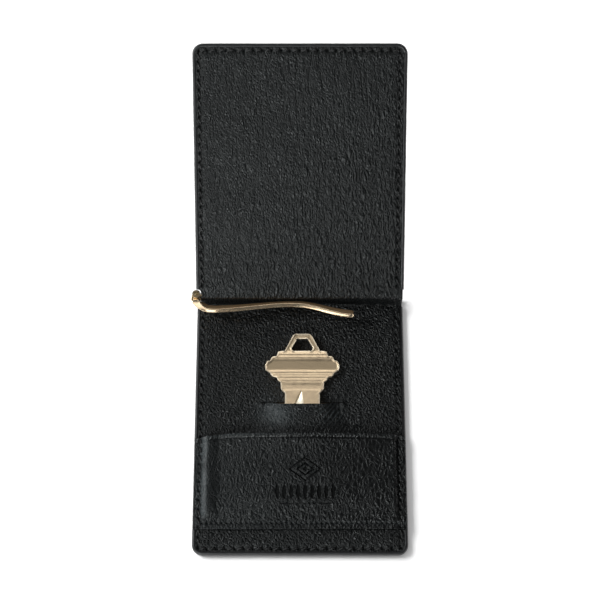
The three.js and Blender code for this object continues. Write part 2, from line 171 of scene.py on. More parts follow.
def box_mm(node):
    low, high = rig.box(node)
    return np.array(low) / MM, np.array(high) / MM


JOINTS = {joint["name"]: joint for joint in frame["record"]["behaviour"]["joints"]}


def joint_point(name):
    return np.array(JOINTS[name]["pos_m"]) / MM


# ---- Places and sizes read from the frame ----

BACK_LOW, BACK_HIGH = box_mm("back_outer_leather")
LINING_LOW, _ = box_mm("back_lining")
SPINE_LOW, SPINE_HIGH = box_mm("spine_outer_leather")
SPINE_LINING_LOW, _ = box_mm("spine_lining")
POCKET_LOW, POCKET_HIGH = box_mm("card_pocket")
_, COVER_HIGH = box_mm("cover_lining")
PIN_LOW, PIN_HIGH = box_mm("clip_hinge_pin")
KEY_BOX_LOW, KEY_BOX_HIGH = box_mm("house_key")

LOW_FOLD = joint_point("spine_fold")
TOP_FOLD = joint_point("cover_fold")
PIN_AT = joint_point("clip_open")
COVER_ANGLE = math.pi - math.radians(JOINTS["cover_fold"]["range_deg"][1])
COVER_ALONG = np.array([0, math.cos(COVER_ANGLE), math.sin(COVER_ANGLE)])
COVER_OUT = np.array([0, -math.sin(COVER_ANGLE), math.cos(COVER_ANGLE)])

HALF_WIDTH = BACK_HIGH[0]
NEAR_Y = BACK_LOW[1]
SPINE_Y = SPINE_HIGH[1]
COVER_END = (COVER_HIGH[2] - TOP_FOLD[2]) / math.sin(COVER_ANGLE)

# ---- Layers, as the frame's solids have them ----

CORNER = 4  # radius of the panels' corners
LINING = 0.8  # thickness of the lining
HIDE = 1.1  # thickness of the hide, on a panel and on the spine
SPINE_HIDE = 0.9
PANEL_THICK = 2.6
LINING_TOP = LINING_LOW[2] + LINING
POCKET_THICK = 1.0
POCKET_BASE = POCKET_LOW[2]
POCKET_SEAM_Y = POCKET_LOW[1] + 2.3
SEAM_LEVEL = POCKET_BASE - LINING_TOP + POCKET_THICK  # the flat pocket's face over the lining
STITCH_INSET = 2.6
EDGE_WIDTH = 1.3
SHEET_INSET = 0.5  # the sheets end this far under the painted edge
CELL = 0.36  # step of the sheets' grids
FINE = 0.22  # and along their stitched borders

SLIT_Y = 7.7
SLIT_HALF = 16
SLIT_GAP = 0.25
LIP_SLACK = 1.1  # how far the slit's lip hangs away from the key
KEY_X = (KEY_BOX_LOW[0] + KEY_BOX_HIGH[0]) / 2
KEY_THICK = 2.0
KEY_Z = 2.68  # height of the key's underside at the slit
KEY_SLOPE = JOINTS["key_slide"]["axis"][2] / JOINTS["key_slide"]["axis"][1]
BLADE_LENGTH = 30
CARD_ROOM = 1.1  # height of the pocket's room for cards
SHOULDER = 36.9  # the pocket's moulded shoulder, from the middle


# ---- Small mathematics ----

def smooth(x, low, high):
    """A soft rise from 0 at low to 1 at high."""
    t = np.clip((x - low) / (high - low), 0, 1)
    return t * t * (3 - 2 * t)


def fall(x, low, high):
    """A soft fall from 1 at low to 0 at high."""
    return 1 - smooth(x, low, high)


def bell(x, middle, width):
    return np.exp(-(((x - middle) / width) ** 2))


def round_drop(inwards, radius):
    """How far a round edge falls away, from 1 on the edge to 0 at its radius further in."""
    t = 1 - np.clip(inwards / radius, 0, 1)
    return 1 - np.sqrt(np.clip(1 - t ** 2, 0, 1))


def steps(low, high, cell):
    return np.linspace(low, high, max(2, int(math.ceil((high - low) / cell)) + 1))


def ripple(x, y, seed, size):
    """A gentle unevenness of about -1 to 1, from a few crossing waves of this wavelength."""
    rng = np.random.default_rng(seed)
    total = np.zeros(np.broadcast(x, y).shape)
    waves = 7
    for _ in range(waves):
        angle = rng.uniform(0, math.pi)
        phase = rng.uniform(0, 2 * math.pi)
        length = size * rng.uniform(0.7, 1.6)
        along = x * math.cos(angle) + y * math.sin(angle)
        total = total + np.sin(2 * math.pi * along / length + phase)
    return total / math.sqrt(waves)


# ---- Objects and meshes ----

def add_object(name, data):
    thing = bpy.data.objects.new(name, data)
    bpy.context.scene.collection.objects.link(thing)
    return thing


def make_piece(name, points, faces, material, smooth_shade=True, values=None):
    """A mesh object from points in mm. values holds numbers per point, kept as named attributes."""
    mesh = bpy.data.meshes.new(name)
    mesh.from_pydata((np.asarray(points) * MM).tolist(), [], [list(map(int, f)) for f in faces])
    for key, data in (values or {}).items():
        data = np.asarray(data, np.float32)
        kind = "FLOAT" if data.ndim == 1 else "FLOAT_VECTOR"
        field = "value" if data.ndim == 1 else "vector"
        mesh.attributes.new(key, kind, "POINT").data.foreach_set(field, data.ravel())
    mesh.polygons.foreach_set("use_smooth", [smooth_shade] * len(mesh.polygons))
    mesh.materials.append(material)
    return add_object(name, mesh)


def edit_mesh(piece, change):
    work = bmesh.new()
    work.from_mesh(piece.data)
    change(work)
    work.to_mesh(piece.data)
    work.free()
    return piece


def sharpen(piece, degrees):
    """Shades faces that meet at more than this angle as an edge."""
    def mark_edges(work):
        for edge in work.edges:
            edge.smooth = len(edge.link_faces) == 2 and edge.calc_face_angle(0) < math.radians(degrees)

    return edit_mesh(piece, mark_edges)


def face_outwards(piece):
    return edit_mesh(piece, lambda work: bmesh.ops.recalc_face_normals(work, faces=work.faces))


def closed_grid(xs, ys, top, bottom, is_open=None):
    """Points and quads of a closed solid between two grids of points, less the open cells."""
    rows, columns = top.shape[:2]
    points = np.concatenate([top.reshape(-1, 3), bottom.reshape(-1, 3)])
    half = rows * columns
    there = np.zeros((rows + 1, columns + 1), bool)
    there[1:rows, 1:columns] = True
    if is_open is not None:
        middle_x = (xs[:-1] + xs[1:]) / 2
        middle_y = (ys[:-1] + ys[1:]) / 2
        there[1:rows, 1:columns] &= ~is_open(middle_x[None, :], middle_y[:, None])
    number = np.arange(half).reshape(rows, columns)
    a, b = number[:-1, :-1], number[:-1, 1:]
    c, d = number[1:, 1:], number[1:, :-1]
    here = there[1:rows, 1:columns]
    faces = []

    def add(mask, *corners):
        faces.append(np.stack([corner[mask] for corner in corners], axis=1))

    add(here, a, b, c, d)
    add(here, d + half, c + half, b + half, a + half)
    add(here & ~there[0:rows - 1, 1:columns], b, a, a + half, b + half)
    add(here & ~there[1:rows, 2:columns + 1], c, b, b + half, c + half)
    add(here & ~there[2:rows + 1, 1:columns], d, c, c + half, d + half)
    add(here & ~there[1:rows, 0:columns - 1], a, d, d + half, a + half)
    faces = np.concatenate(faces)
    used = np.unique(faces)
    renumber = np.zeros(len(points), int)
    renumber[used] = np.arange(len(used))
    return points[used], renumber[faces], used


def both_faces(values, used):
    """Numbers for the points of a grid's two faces, less the points that aren't used."""
    return np.concatenate([values, values])[used]


def rings_mesh(rings, closed=False):
    """Points and faces of a skin through rings of points, capped at both ends unless closed."""
    rings = np.asarray(rings)
    count, size = rings.shape[:2]
    points = rings.reshape(-1, 3)
    faces = []
    for i in range(count if closed else count - 1):
        one = i * size
        two = (i + 1) % count * size
        for j in range(size):
            k = (j + 1) % size
            faces.append([one + j, one + k, two + k, two + j])
    if not closed:
        faces.append(list(range(size))[::-1])
        faces.append([(count - 1) * size + j for j in range(size)])
    return points, faces


def merge_parts(parts):
    """Points and faces of several skins as one list."""
    points = []
    faces = []
    start = 0
    for part_points, part_faces in parts:
        points.append(np.asarray(part_points))
        faces.extend([[start + i for i in face] for face in part_faces])
        start += len(part_points)
    return np.concatenate(points), faces


def outline_normals(points, closed):
    """Left-hand unit normals of a plan line."""
    if closed:
        along = np.roll(points, -1, 0) - np.roll(points, 1, 0)
    else:
        along = np.gradient(points, axis=0)
    along = along / np.linalg.norm(along, axis=1)[:, None]
    return np.stack([-along[:, 1], along[:, 0]], axis=1)


def distance_to_line(points, line):
    """Distance in plan from each point to a closed line."""
    best = np.full(len(points), 1e9)
    for a, b in zip(line, np.roll(line, -1, 0)):
        d = b - a
        t = np.clip(((points - a) @ d) / max(d @ d, 1e-12), 0, 1)
        best = np.minimum(best, np.linalg.norm(points - (a + t[:, None] * d), axis=1))
    return best


def inside_line(points, line):
    """1 for each point inside a closed plan line, and 0 for the others."""
    odd = np.zeros(len(points), bool)
    for (ax, ay), (bx, by) in zip(line, np.roll(line, -1, 0)):
        if ay != by:
            reach = ax + (points[:, 1] - ay) / (by - ay) * (bx - ax)
            odd ^= ((ay > points[:, 1]) != (by > points[:, 1])) & (points[:, 0] < reach)
    return odd.astype(int)


def plate(outlines, cell, rims):
    """Triangles of a plate with these closed outlines, the first outside and the others holes.
    Rows of points follow the outlines at the distances in rims, and a grid fills the rest.
    Returns plan points, triangles and each point's distance to the nearest outline."""
    points = []
    edges = []
    for line in outlines:
        start = len(points)
        points.extend(line)
        edges.extend((start + i, start + (i + 1) % len(line)) for i in range(len(line)))
    fixed = np.array(points)

    def clearance(candidates):
        return np.min([distance_to_line(candidates, line) for line in outlines], axis=0)

    low, high = fixed.min(0), fixed.max(0)
    extra = []
    for rim in rims:
        for line in outlines:
            normals = outline_normals(line, True)
            for side in (rim, -rim):
                row = line + normals * side
                extra.append(row[np.abs(clearance(row) - rim) < 0.02])
    gx, gy = np.meshgrid(np.arange(low[0], high[0], cell), np.arange(low[1], high[1], cell))
    grid = np.stack([gx.ravel(), gy.ravel()], axis=1)
    extra.append(grid[clearance(grid) > max(rims) + 0.4 * cell])
    everything = [Vector(p) for p in np.concatenate([fixed, *extra])]
    inside_constraints = 1
    verts, _, tris, *_ = delaunay_2d_cdt(everything, edges, [], inside_constraints, 1e-5)
    flat = np.array([tuple(v) for v in verts])
    tris = np.array([list(t) for t in tris])
    middles = flat[tris].mean(axis=1)
    crossings = sum(inside_line(middles, line) for line in outlines)
    tris = tris[crossings == 1]
    far = clearance(flat)
    used = np.unique(tris)
    renumber = np.zeros(len(flat), int)
    renumber[used] = np.arange(len(used))
    return flat[used], renumber[tris], far[used]


def double_sided(flat, tris, upper, lower):
    """A closed solid from plan triangles and heights of its upper and lower faces."""
    count = len(flat)
    points = np.concatenate([np.column_stack([flat, upper]), np.column_stack([flat, lower])])
    sides = {}
    for tri in tris:
        for i in range(3):
            sides[(tri[i], tri[(i + 1) % 3])] = True
    faces = [list(t) for t in tris] + [[i + count for i in t[::-1]] for t in tris]
    for a, b in sides:
        if (b, a) not in sides:
            faces.append([b, a, a + count, b + count])
    return points, faces


def revolve(profile, centre, segments=40):
    """A solid of revolution about an upright axis, from (radius, z) points that form a closed ring."""
    rings = []
    for i in range(segments):
        angle = 2 * math.pi * i / segments
        rings.append([
            (centre[0] + r * math.cos(angle), centre[1] + r * math.sin(angle), z) for r, z in profile
        ])
    return rings_mesh(rings, closed=True)


# ---- Camera, floor and light ----

CAMERA_ELEVATION = math.radians(71.27)
CAMERA_DISTANCE = 0.56
CAMERA_LENS = 85.7
PICTURE_SIDE = 600  # pixels


def make_camera():
    """Looks at the foot of the spine's outer face, from the near side and steeply above."""
    target = Vector((0, SPINE_Y * MM, 0))
    back = Vector((0, -math.cos(CAMERA_ELEVATION), math.sin(CAMERA_ELEVATION)))
    data = bpy.data.cameras.new("camera")
    data.lens = CAMERA_LENS
    data.shift_y = -1 / PICTURE_SIDE
    data.clip_start = 0.01
    camera = add_object("camera", data)
    camera.location = target + back * CAMERA_DISTANCE
    camera.rotation_euler = (-back).to_track_quat("-Z", "Y").to_euler()
    bpy.context.scene.camera = camera


def area_light(name, at, towards, size, power, colour):
    data = bpy.data.lights.new(name, "AREA")
    data.shape = "RECTANGLE"
    data.size, data.size_y = size
    data.energy = power
    data.color = colour
    light = add_object(name, data)
    light.location = at
    light.rotation_euler = (Vector(towards) - Vector(at)).to_track_quat("-Z", "Y").to_euler()
    return light


WHITE = (1, 1, 1)
COOL_WHITE = (0.96, 1, 1)
WARM_WHITE = (1, 0.97, 0.93)

# Name, place and target in metres, size, watts and colour. Side and near light bring out the
# leather's grain, and the last two light the table alone.
STUDIO_LIGHTS = [
    ("side", (-0.8, 0.22, 0.68), (0, 0.03, 0), (0.3, 0.3), 3.5, COOL_WHITE),
    ("near", (-0.4, -0.8, 0.62), (0, 0.08, 0), (0.6, 0.4), 6.2, (0.95, 1, 1)),
    ("far", (-0.5, 0.86, 0.56), (0, 0, 0), (0.3, 0.2), 1.1, COOL_WHITE),
    ("table", (-0.95, 0.51, 0.6), (-0.95, 0.5101, 0), (1.1, 0.85), 48, WHITE),
    ("room", (0, 0, 2.2), (0, 0.001, 0), (4, 4), 40, WHITE),
]

# Lights that only the metal mirrors, in the same order without target and colour: one over the
# key, two for the top edge of the arm's bend and tip, and three further out for the bevels.
METAL_LIGHTS = [
    ("metal_above", (0, 0.27, 0.6), (0.34, 0.3), 0.5),
    ("metal_bend", (-0.379, -0.243, 0.468), (0.5, 0.46), 0.9),
    ("metal_near", (-0.2, -0.585, 0.265), (0.24, 0.24), 0.5),
    ("metal_left", (-0.6, 0.2, 0.24), (0.34, 0.3), 1.3),
    ("metal_right", (0.6, 0.2, 0.24), (0.34, 0.3), 1.1),
    ("metal_far", (0, 0.62, 0.5), (0.34, 0.3), 0.7),
]


def make_studio():
    """A white table, soft lights from the left, the near side and the far left, and a dim room."""
    half = 3.0
    corners = [(-half, -half, 0), (half, -half, 0), (half, half, 0), (-half, half, 0)]
    mesh = bpy.data.meshes.new("floor")
    mesh.from_pydata(corners, [], [[0, 1, 2, 3]])
    mesh.materials.append(paper())
    floor = add_object("floor", mesh)
    floor.location.z = -0.00003  # just under the hide, so that the two faces never coincide
    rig.stage(floor)

    world = bpy.data.worlds.new("room")
    world.use_nodes = True
    background = world.node_tree.nodes["Background"]
    background.inputs["Color"].default_value = (1, 1, 1, 1)
    background.inputs["Strength"].default_value = 0.11
    bpy.context.scene.world = world

    lights = {}
    for name, at, towards, size, power, colour in STUDIO_LIGHTS:
        lights[name] = area_light(name + "_light", at, towards, size, power, colour)
    for name, at, size, power in METAL_LIGHTS:
        lights[name] = area_light(name, at, (0, 0.03, 0), size, power, WARM_WHITE)
    bpy.context.scene.view_settings.view_transform = "Standard"
    return lights, floor


def collect(name, pieces):
    collection = bpy.data.collections.new(name)
    for piece in pieces:
        collection.objects.link(piece)
    return collection


def share_light(lights, floor, flat_pieces, key, metal_pieces):
    """The table has two lights of its own, one of them shaded by the flat panel only. The metal
    has its own as well, and of these the one overhead is for the key alone. The side light falls
    on everything but the table, and the near and far ones leave out the metal too."""
    table = collect("table_only", [floor])
    lights["table"].light_linking.receiver_collection = table
    lights["room"].light_linking.receiver_collection = table
    lights["table"].light_linking.blocker_collection = collect("table_shade", flat_pieces)
    metal = collect("metal_only", metal_pieces)
    for name, *_ in METAL_LIGHTS:
        lights[name].light_linking.receiver_collection = metal
    lights["metal_above"].light_linking.receiver_collection = collect("key_only", [key])
    others = [piece for piece in bpy.context.scene.objects if piece.type == "MESH" and piece != floor]
    for name in ("side", "near", "far"):
        lit = [piece for piece in others if name == "side" or piece not in metal_pieces]
        lights[name].light_linking.receiver_collection = collect(f"{name}_lit", lit)


# ---- Materials ----

class Nodes:
    """A new material with a Principled surface, and short ways to add and join nodes."""

    def __init__(self, name, **settings):
        self.material = bpy.data.materials.new(name)
        self.material.use_nodes = True
        self.tree = self.material.node_tree
        self.shader = self.tree.nodes["Principled BSDF"]
        for key, value in settings.items():
            self.shader.inputs[key.replace("_", " ")].default_value = value

    def add(self, kind, inputs=None, **properties):
        node = self.tree.nodes.new("ShaderNode" + kind)
        for key, value in properties.items():
            setattr(node, key, value)
        for key, value in (inputs or {}).items():
            self.feed(node.inputs[key], value)
        return node

    def feed(self, socket, value):
        if isinstance(value, bpy.types.NodeSocket):
            self.tree.links.new(value, socket)
        else:
            socket.default_value = value

    def surface(self, key, value):
        self.feed(self.shader.inputs[key], value)

    def plan(self):
        """The mesh's own plan in mm, kept by its "flat" attribute."""
        return self.add("Attribute", attribute_name="flat").outputs["Vector"]

    def place(self, scale=1000.0):
        """Object coordinates, in mm by default."""
        at = self.add("TexCoord").outputs["Object"]
        return self.add("VectorMath", {0: at, "Scale": scale}, operation="SCALE").outputs[0]

    def value(self, name):
        return self.add("Attribute", attribute_name=name).outputs["Fac"]

    def mapped(self, vector, scale=(1, 1, 1), turn=0.0):
        turned = {"Vector": vector, "Rotation": (0, 0, turn), "Scale": scale}
        return self.add("Mapping", turned).outputs["Vector"]

    def noise(self, vector, scale, detail=3.0, roughness=0.55):
        inputs = {"Vector": vector, "Scale": scale, "Detail": detail, "Roughness": roughness}
        return self.add("TexNoise", inputs).outputs["Fac"]

    def math(self, operation, a, b=0.0, clamp=False):
        node = self.add("Math", {0: a, 1: b}, operation=operation)
        node.use_clamp = clamp
        return node.outputs[0]

    def plus(self, a, b):
        return self.math("ADD", a, b)

    def times(self, a, b):
        return self.math("MULTIPLY", a, b)

    def weighted(self, first, *others):
        """The sum of values, each times its weight, from (value, weight) pairs."""
        total = self.times(*first)
        for pair in others:
            total = self.plus(total, self.times(*pair))
        return total

    def ramp(self, factor, *stops):
        """Colours or numbers at places from 0 to 1."""
        node = self.add("ValToRGB", {"Fac": factor})
        ramp = node.color_ramp
        while len(ramp.elements) < len(stops):
            ramp.elements.new(1.0)
        for element, (place, colour) in zip(ramp.elements, stops):
            element.position = place
            if not isinstance(colour, tuple):
                colour = (colour, colour, colour)
            element.color = (*colour, 1)
        return node.outputs["Color"]

    def mix(self, factor, a, b):
        node = self.add("Mix", data_type="RGBA")
        self.feed(node.inputs["Factor"], factor)
        for socket, value in ((node.inputs["A"], a), (node.inputs["B"], b)):
            if isinstance(value, tuple):
                value = (*value, 1)
            self.feed(socket, value)
        return node.outputs["Result"]

    def shake(self, vector, amount, scale):
        """The vector moved about by a noise, amount in the vector's own units."""
        cloud = self.add("TexNoise", {"Vector": vector, "Scale": scale, "Detail": 2.0}).outputs["Color"]
        centred = self.add("VectorMath", {0: cloud, 1: (0.5, 0.5, 0.5)}, operation="SUBTRACT").outputs[0]
        scaled = self.add("VectorMath", {0: centred, "Scale": amount}, operation="SCALE").outputs[0]
        return self.add("VectorMath", {0: vector, 1: scaled}, operation="ADD").outputs[0]

    def cells(self, vector, scale, feature="DISTANCE_TO_EDGE"):
        inputs = {"Vector": vector, "Scale": scale}
        return self.add("TexVoronoi", inputs, feature=feature).outputs["Distance"]

    def bump(self, height, depth, strength=1.0, below=None):
        """A bump of this depth in metres."""
        inputs = {"Height": height, "Strength": strength, "Distance": depth}
        if below is not None:
            inputs["Normal"] = below
        return self.add("Bump", inputs).outputs["Normal"]


def paper():
    made = Nodes("white_table", Roughness=0.9)
    cloud = made.noise(made.place(1.0), 3.0)
    made.surface("Base Color", made.ramp(cloud, (0.3, 0.88), (0.7, 0.9)))
    return made.material


def pebbles(made, plan, size, stretch, turn):
    """Rounded cells between creases, from 0 in a crease to 1 on a cell. size is in mm."""
    at = made.mapped(made.shake(plan, size * 1.1, 0.5 / size), (1, 1 / stretch, 1), turn)
    return made.ramp(made.cells(at, 1 / size), (0.0, 0.0), (0.12, 0.3), (0.35, 0.86), (0.5, 1.0))


def wrinkles(made, plan, width, length, turn):
    """Long fine creases along a panel, from 0 in a crease to 1 between them."""
    at = made.mapped(plan, (1 / width, 1 / length, 1), turn)
    cloud = made.math("SUBTRACT", made.noise(at, 1.0, 2.0), 0.5)
    return made.ramp(made.math("ABSOLUTE", cloud), (0.0, 0.0), (0.03, 0.7), (0.08, 1.0))


def leather(name, colour, gloss, depth, fine, coarse, coarse_share, creases=0.3):
    """Black leather. fine and coarse are (size in mm, stretch along the panel, turn) of its two
    grains. coarse_share is how much of the coarse one shows: by x, by y and everywhere."""
    made = Nodes(name, Roughness=0.5, Specular_IOR_Level=0.42)
    plan = made.plan()
    small = pebbles(made, plan, *fine)
    large = pebbles(made, plan, *coarse)
    pores = made.noise(plan, 3.2, 4.0, 0.65)
    # how much of the coarse grain shows, drifting a little from place to place
    axes = made.add("SeparateXYZ", {"Vector": plan}).outputs
    by_x, by_y, offset = coarse_share
    share = made.weighted((axes[0], by_x), (axes[1], by_y))
    drift = made.times(made.math("SUBTRACT", made.noise(plan, 0.06), 0.5), 0.9)
    share = made.math("ADD", made.plus(share, drift), offset, clamp=True)
    strength = made.plus(made.times(share, 0.85), 0.15)
    # the relief, flatter where the leather is pressed and under the painted sheen
    long_creases = wrinkles(made, plan, 5.0, 26.0, coarse[2] * 0.5)
    height = made.weighted((small, 0.3), (pores, 0.12), (large, strength), (long_creases, creases))
    pressed = made.value("pressed")
    painted_sheen = made.value("painted_sheen")
    flattened = made.times(pressed, 0.85)
    smoothed = made.math("MAXIMUM", flattened, made.times(painted_sheen, 0.3))
    height = made.times(height, made.math("SUBTRACT", 1.0, smoothed))
    made.surface("Normal", made.bump(height, depth))
    # painted shade: the colour is darkest in the creases of the coarse grain and paler on its cells, mixed with
    # patches of random tone; the cells are glossier too
    patches = made.noise(plan, 0.07, 3.0)
    worn = made.weighted((large, 0.5), (patches, 0.5))
    dark = tuple(c * 0.4 for c in colour)
    light = tuple(c * 1.4 for c in colour)
    # darker where the pressed attribute is set: the pocket's pressed ornament, and painted shade along the pocket's
    # mouth and over its right side
    base = made.mix(pressed, made.ramp(worn, (0.1, dark), (0.5, colour), (0.95, light)), dark)
    # painted sheen: a paler colour is mixed in where the sheen attribute is set, standing in for highlights, partly
    # wear on the pocket's lip and seam
    made.surface("Base Color", made.mix(painted_sheen, base, PAINTED_SHEEN_COLOUR))
    sheen_amount = made.times(made.math("MAXIMUM", painted_sheen, pressed), 0.12)
    rough = made.ramp(worn, (0.1, gloss + 0.25), (0.6, gloss))
    made.surface("Roughness", made.math("SUBTRACT", rough, sheen_amount))
    return made.material


def edge_paint():
    made = Nodes("edge_paint", Roughness=0.4)
    at = made.place()
    cloud = made.noise(at, 0.8, 4.0)
    dark = (0.018, 0.018, 0.019)
    light = (0.034, 0.034, 0.036)
    made.surface("Base Color", made.ramp(cloud, (0.3, dark), (0.75, light)))
    made.surface("Roughness", made.ramp(cloud, (0.3, 0.28), (0.8, 0.42)))
    made.surface("Normal", made.bump(made.noise(at, 1.6, 3.0), 0.00008))
    return made.material


def waxed_thread():
    made = Nodes("waxed_thread", Roughness=0.5)
    at = made.place()
    twist = made.add("TexWave", {"Vector": at, "Scale": 0.9, "Distortion": 1.5}, bands_direction="DIAGONAL")
    made.surface("Base Color", made.ramp(twist.outputs["Fac"], (0.2, 0.009), (0.9, 0.03)))
    made.surface("Roughness", made.ramp(made.noise(at, 2.0), (0.3, 0.26), (0.7, 0.4)))
    made.surface("Normal", made.bump(twist.outputs["Fac"], 0.00006))
    return made.material


def metal(name, bright, dull, gloss, wear, depth):
    """Metal with soft patches of dulling, fine scratches and a slight unevenness."""
    made = Nodes(name, Metallic=1.0)
    at = made.place()
    patches = made.noise(at, wear, 4.0, 0.6)
    made.surface("Base Color", made.ramp(patches, (0.35, dull), (0.62, bright)))
    scratch = made.noise(made.mapped(at, (1, 14, 14), 0.4), 0.7, 3.0)
    rough = made.plus(patches, made.times(scratch, 0.6))
    made.surface("Roughness", made.ramp(rough, (0.4, gloss), (1.1, gloss + 0.2)))
    made.surface("Normal", made.bump(made.noise(at, 1.2, 4.0), depth))
    return made.material


def arm_gilt():
    """Pale gold plating: polished edges, and an inner broad face that is rougher and painted browner, as painted shade
    where it reflects the dark cover.
    """
    made = Nodes("arm_gilt", Metallic=1.0)
    at = made.place()
    dull = made.value("dull")
    patches = made.noise(at, 0.25, 4.0, 0.6)
    bright = made.ramp(patches, (0.35, (0.8, 0.62, 0.42)), (0.62, (0.9, 0.74, 0.52)))
    # painted shade: browner gold where the dull attribute marks the inner broad face
    made.surface("Base Color", made.mix(dull, bright, (0.62, 0.43, 0.25)))
    streaks = made.noise(made.mapped(at, (0.4, 3, 3)), 1.0, 3.0)
    rough = made.ramp(streaks, (0.3, 0.16), (0.7, 0.27))
    made.surface("Roughness", made.plus(rough, made.times(dull, 0.3)))
    made.surface("Normal", made.bump(streaks, 0.00002))
    return made.material


def coined_brass():
    """The key's worn, pale brass: dull olive hollows, a freshly milled groove, and rims painted bright as a highlight
    that is partly worn brass.
    """
    made = Nodes("coined_brass", Metallic=1.0)
    at = made.place()
    patches = made.noise(at, 0.5, 5.0, 0.65)
    hollow = made.value("hollow")
    milled = made.value("milled")
    face = made.ramp(patches, (0.3, (0.66, 0.52, 0.36)), (0.7, (0.86, 0.7, 0.48)))
    tarnished = made.mix(hollow, face, (0.38, 0.305, 0.205))
    # the milled attribute holds the fresh groove and also the rim's painted highlight
    made.surface("Base Color", made.mix(milled, tarnished, (1.0, 0.92, 0.76)))
    grain = made.noise(at, 2.4, 4.0, 0.7)
    worn = made.ramp(patches, (0.3, 0.27), (0.8, 0.4))
    rough = made.plus(worn, made.times(hollow, 0.1))
    made.surface("Roughness", made.plus(rough, made.times(grain, 0.06)))
    made.surface("Normal", made.bump(grain, 0.00005))
    return made.material


def bonded_board():
    made = Nodes("bonded_board", Roughness=0.85)
    at = made.place()
    fibres = made.noise(made.mapped(at, (1, 4, 1), 0.5), 1.2, 5.0, 0.7)
    made.surface("Base Color", made.ramp(fibres, (0.3, (0.2, 0.15, 0.11)), (0.7, (0.42, 0.34, 0.26))))
    made.surface("Normal", made.bump(fibres, 0.00008))
    return made.material


def pocket_film():
    made = Nodes("pocket_film", Roughness=0.7)
    at = made.place()
    weave = made.add("TexChecker", {"Vector": at, "Scale": 3.0}).outputs["Fac"]
    made.surface("Base Color", made.ramp(weave, (0.0, 0.005), (1.0, 0.011)))
    made.surface("Normal", made.bump(weave, 0.00004))
    return made.material


make_camera()
LIGHTS, FLOOR = make_studio()

COOL_BLACK = (0.0042, 0.0052, 0.0054)
# painted shade: the same black leather, darker for the flat panel's lining and its pocket, which catch less of the
# light than the raised cover
PAINTED_SHADE_BLACK = (0.003, 0.0038, 0.004)
PAINTED_SHEEN_COLOUR = (0.056, 0.064, 0.067)  # painted sheen: a paler leather colour that stands in for highlights, partly wear
MATERIALS = {
    "hide": leather("outer_hide", COOL_BLACK, gloss=0.36, depth=0.0003, fine=(0.8, 1.2, 0.3),
                    coarse=(1.7, 1.5, 0.2), coarse_share=(0, 0, 0.7)),
    "cover_lining": leather("cover_lining", COOL_BLACK, gloss=0.3, depth=0.00042, fine=(0.8, 1.8, 0.1),
                            coarse=(1.5, 3.0, -0.12), coarse_share=(1 / 80, -1 / 100, 0.75), creases=0.25),
    "back_lining": leather("back_lining", PAINTED_SHADE_BLACK, gloss=0.3, depth=0.00038, fine=(0.8, 1.1, 0.2),
                           coarse=(1.3, 1.3, 0.3), coarse_share=(1 / 160, 1 / 300, 0.6), creases=0.12),
    "pocket": leather("pocket_leather", PAINTED_SHADE_BLACK, gloss=0.29, depth=0.0004, fine=(0.8, 1.2, 0.2),
                      coarse=(1.45, 1.7, 0.28), coarse_share=(1 / 200, 0, 0.7), creases=0.12),
    "edge": edge_paint(),
    "thread": waxed_thread(),
    "gilt": metal("gilt", (0.87, 0.7, 0.46), (0.78, 0.6, 0.37), 0.14, 0.25, 0.00002),
    "arm": arm_gilt(),
    "pin": metal("pin", (0.42, 0.34, 0.2), (0.3, 0.24, 0.13), 0.3, 0.5, 0.00002),
    "steel": metal("spring_steel", (0.5, 0.51, 0.53), (0.36, 0.36, 0.37), 0.28, 0.3, 0.00002),
    "rivet": metal("rivet", (0.6, 0.5, 0.33), (0.45, 0.37, 0.24), 0.32, 0.6, 0.00002),
    "key": coined_brass(),
    "board": bonded_board(),
    "film": pocket_film(),
}


# ---- Places: from a panel's plan and a height above its inner face to the frame ----

def back_place(x, y, height):
    return np.stack(np.broadcast_arrays(x, y, LINING_TOP + height), axis=-1).astype(float)


def cover_place(x, along, height):
    """along is measured from the cover's fold line."""
    x, along, height = np.broadcast_arrays(x, along, height)
    flat = TOP_FOLD + along[..., None] * COVER_ALONG + height[..., None] * COVER_OUT
    flat[..., 0] = x
    return flat


class Profile:
    """A line of straight and round stretches in the (y, z) plane, by the length along it."""

    def __init__(self, y, z, heading):
        self.end = (y, z, heading)
        self.length = 0.0
        self.parts = []

    def add(self, length, turn=0.0):
        """A stretch of this length that turns evenly by this many radians, left being positive."""
        y, z, heading = self.end
        self.parts.append((self.length, length, y, z, heading, turn / length))
        self.length += length
        self.end = tuple(float(v) for v in self.stretch(self.parts[-1], length))
        return self

    @staticmethod
    def stretch(part, along):
        _, _, y, z, heading, bend = part
        if bend == 0:
            return y + along * math.cos(heading), z + along * math.sin(heading), heading + 0 * along
        now = heading + bend * along
        y = y + (np.sin(now) - math.sin(heading)) / bend
        z = z - (np.cos(now) - math.cos(heading)) / bend
        return y, z, now

    def at(self, s):
        y, z, heading = (np.zeros_like(s) for _ in range(3))
        for number, part in enumerate(self.parts):
            last = number == len(self.parts) - 1
            inside = (s >= part[0]) & ((s <= part[0] + part[1]) | last)
            y[inside], z[inside], heading[inside] = self.stretch(part, (s - part[0])[inside])
        return y, z, heading


# ---- Stitch lines ----

STITCH_SLANT = math.radians(24)
HOLE_DEPTH = 0.6  # of a stitch's holes and of the channel between them, for a thread of this radius
CHANNEL_DEPTH = 0.2
DEPTHS_RADIUS = 0.27


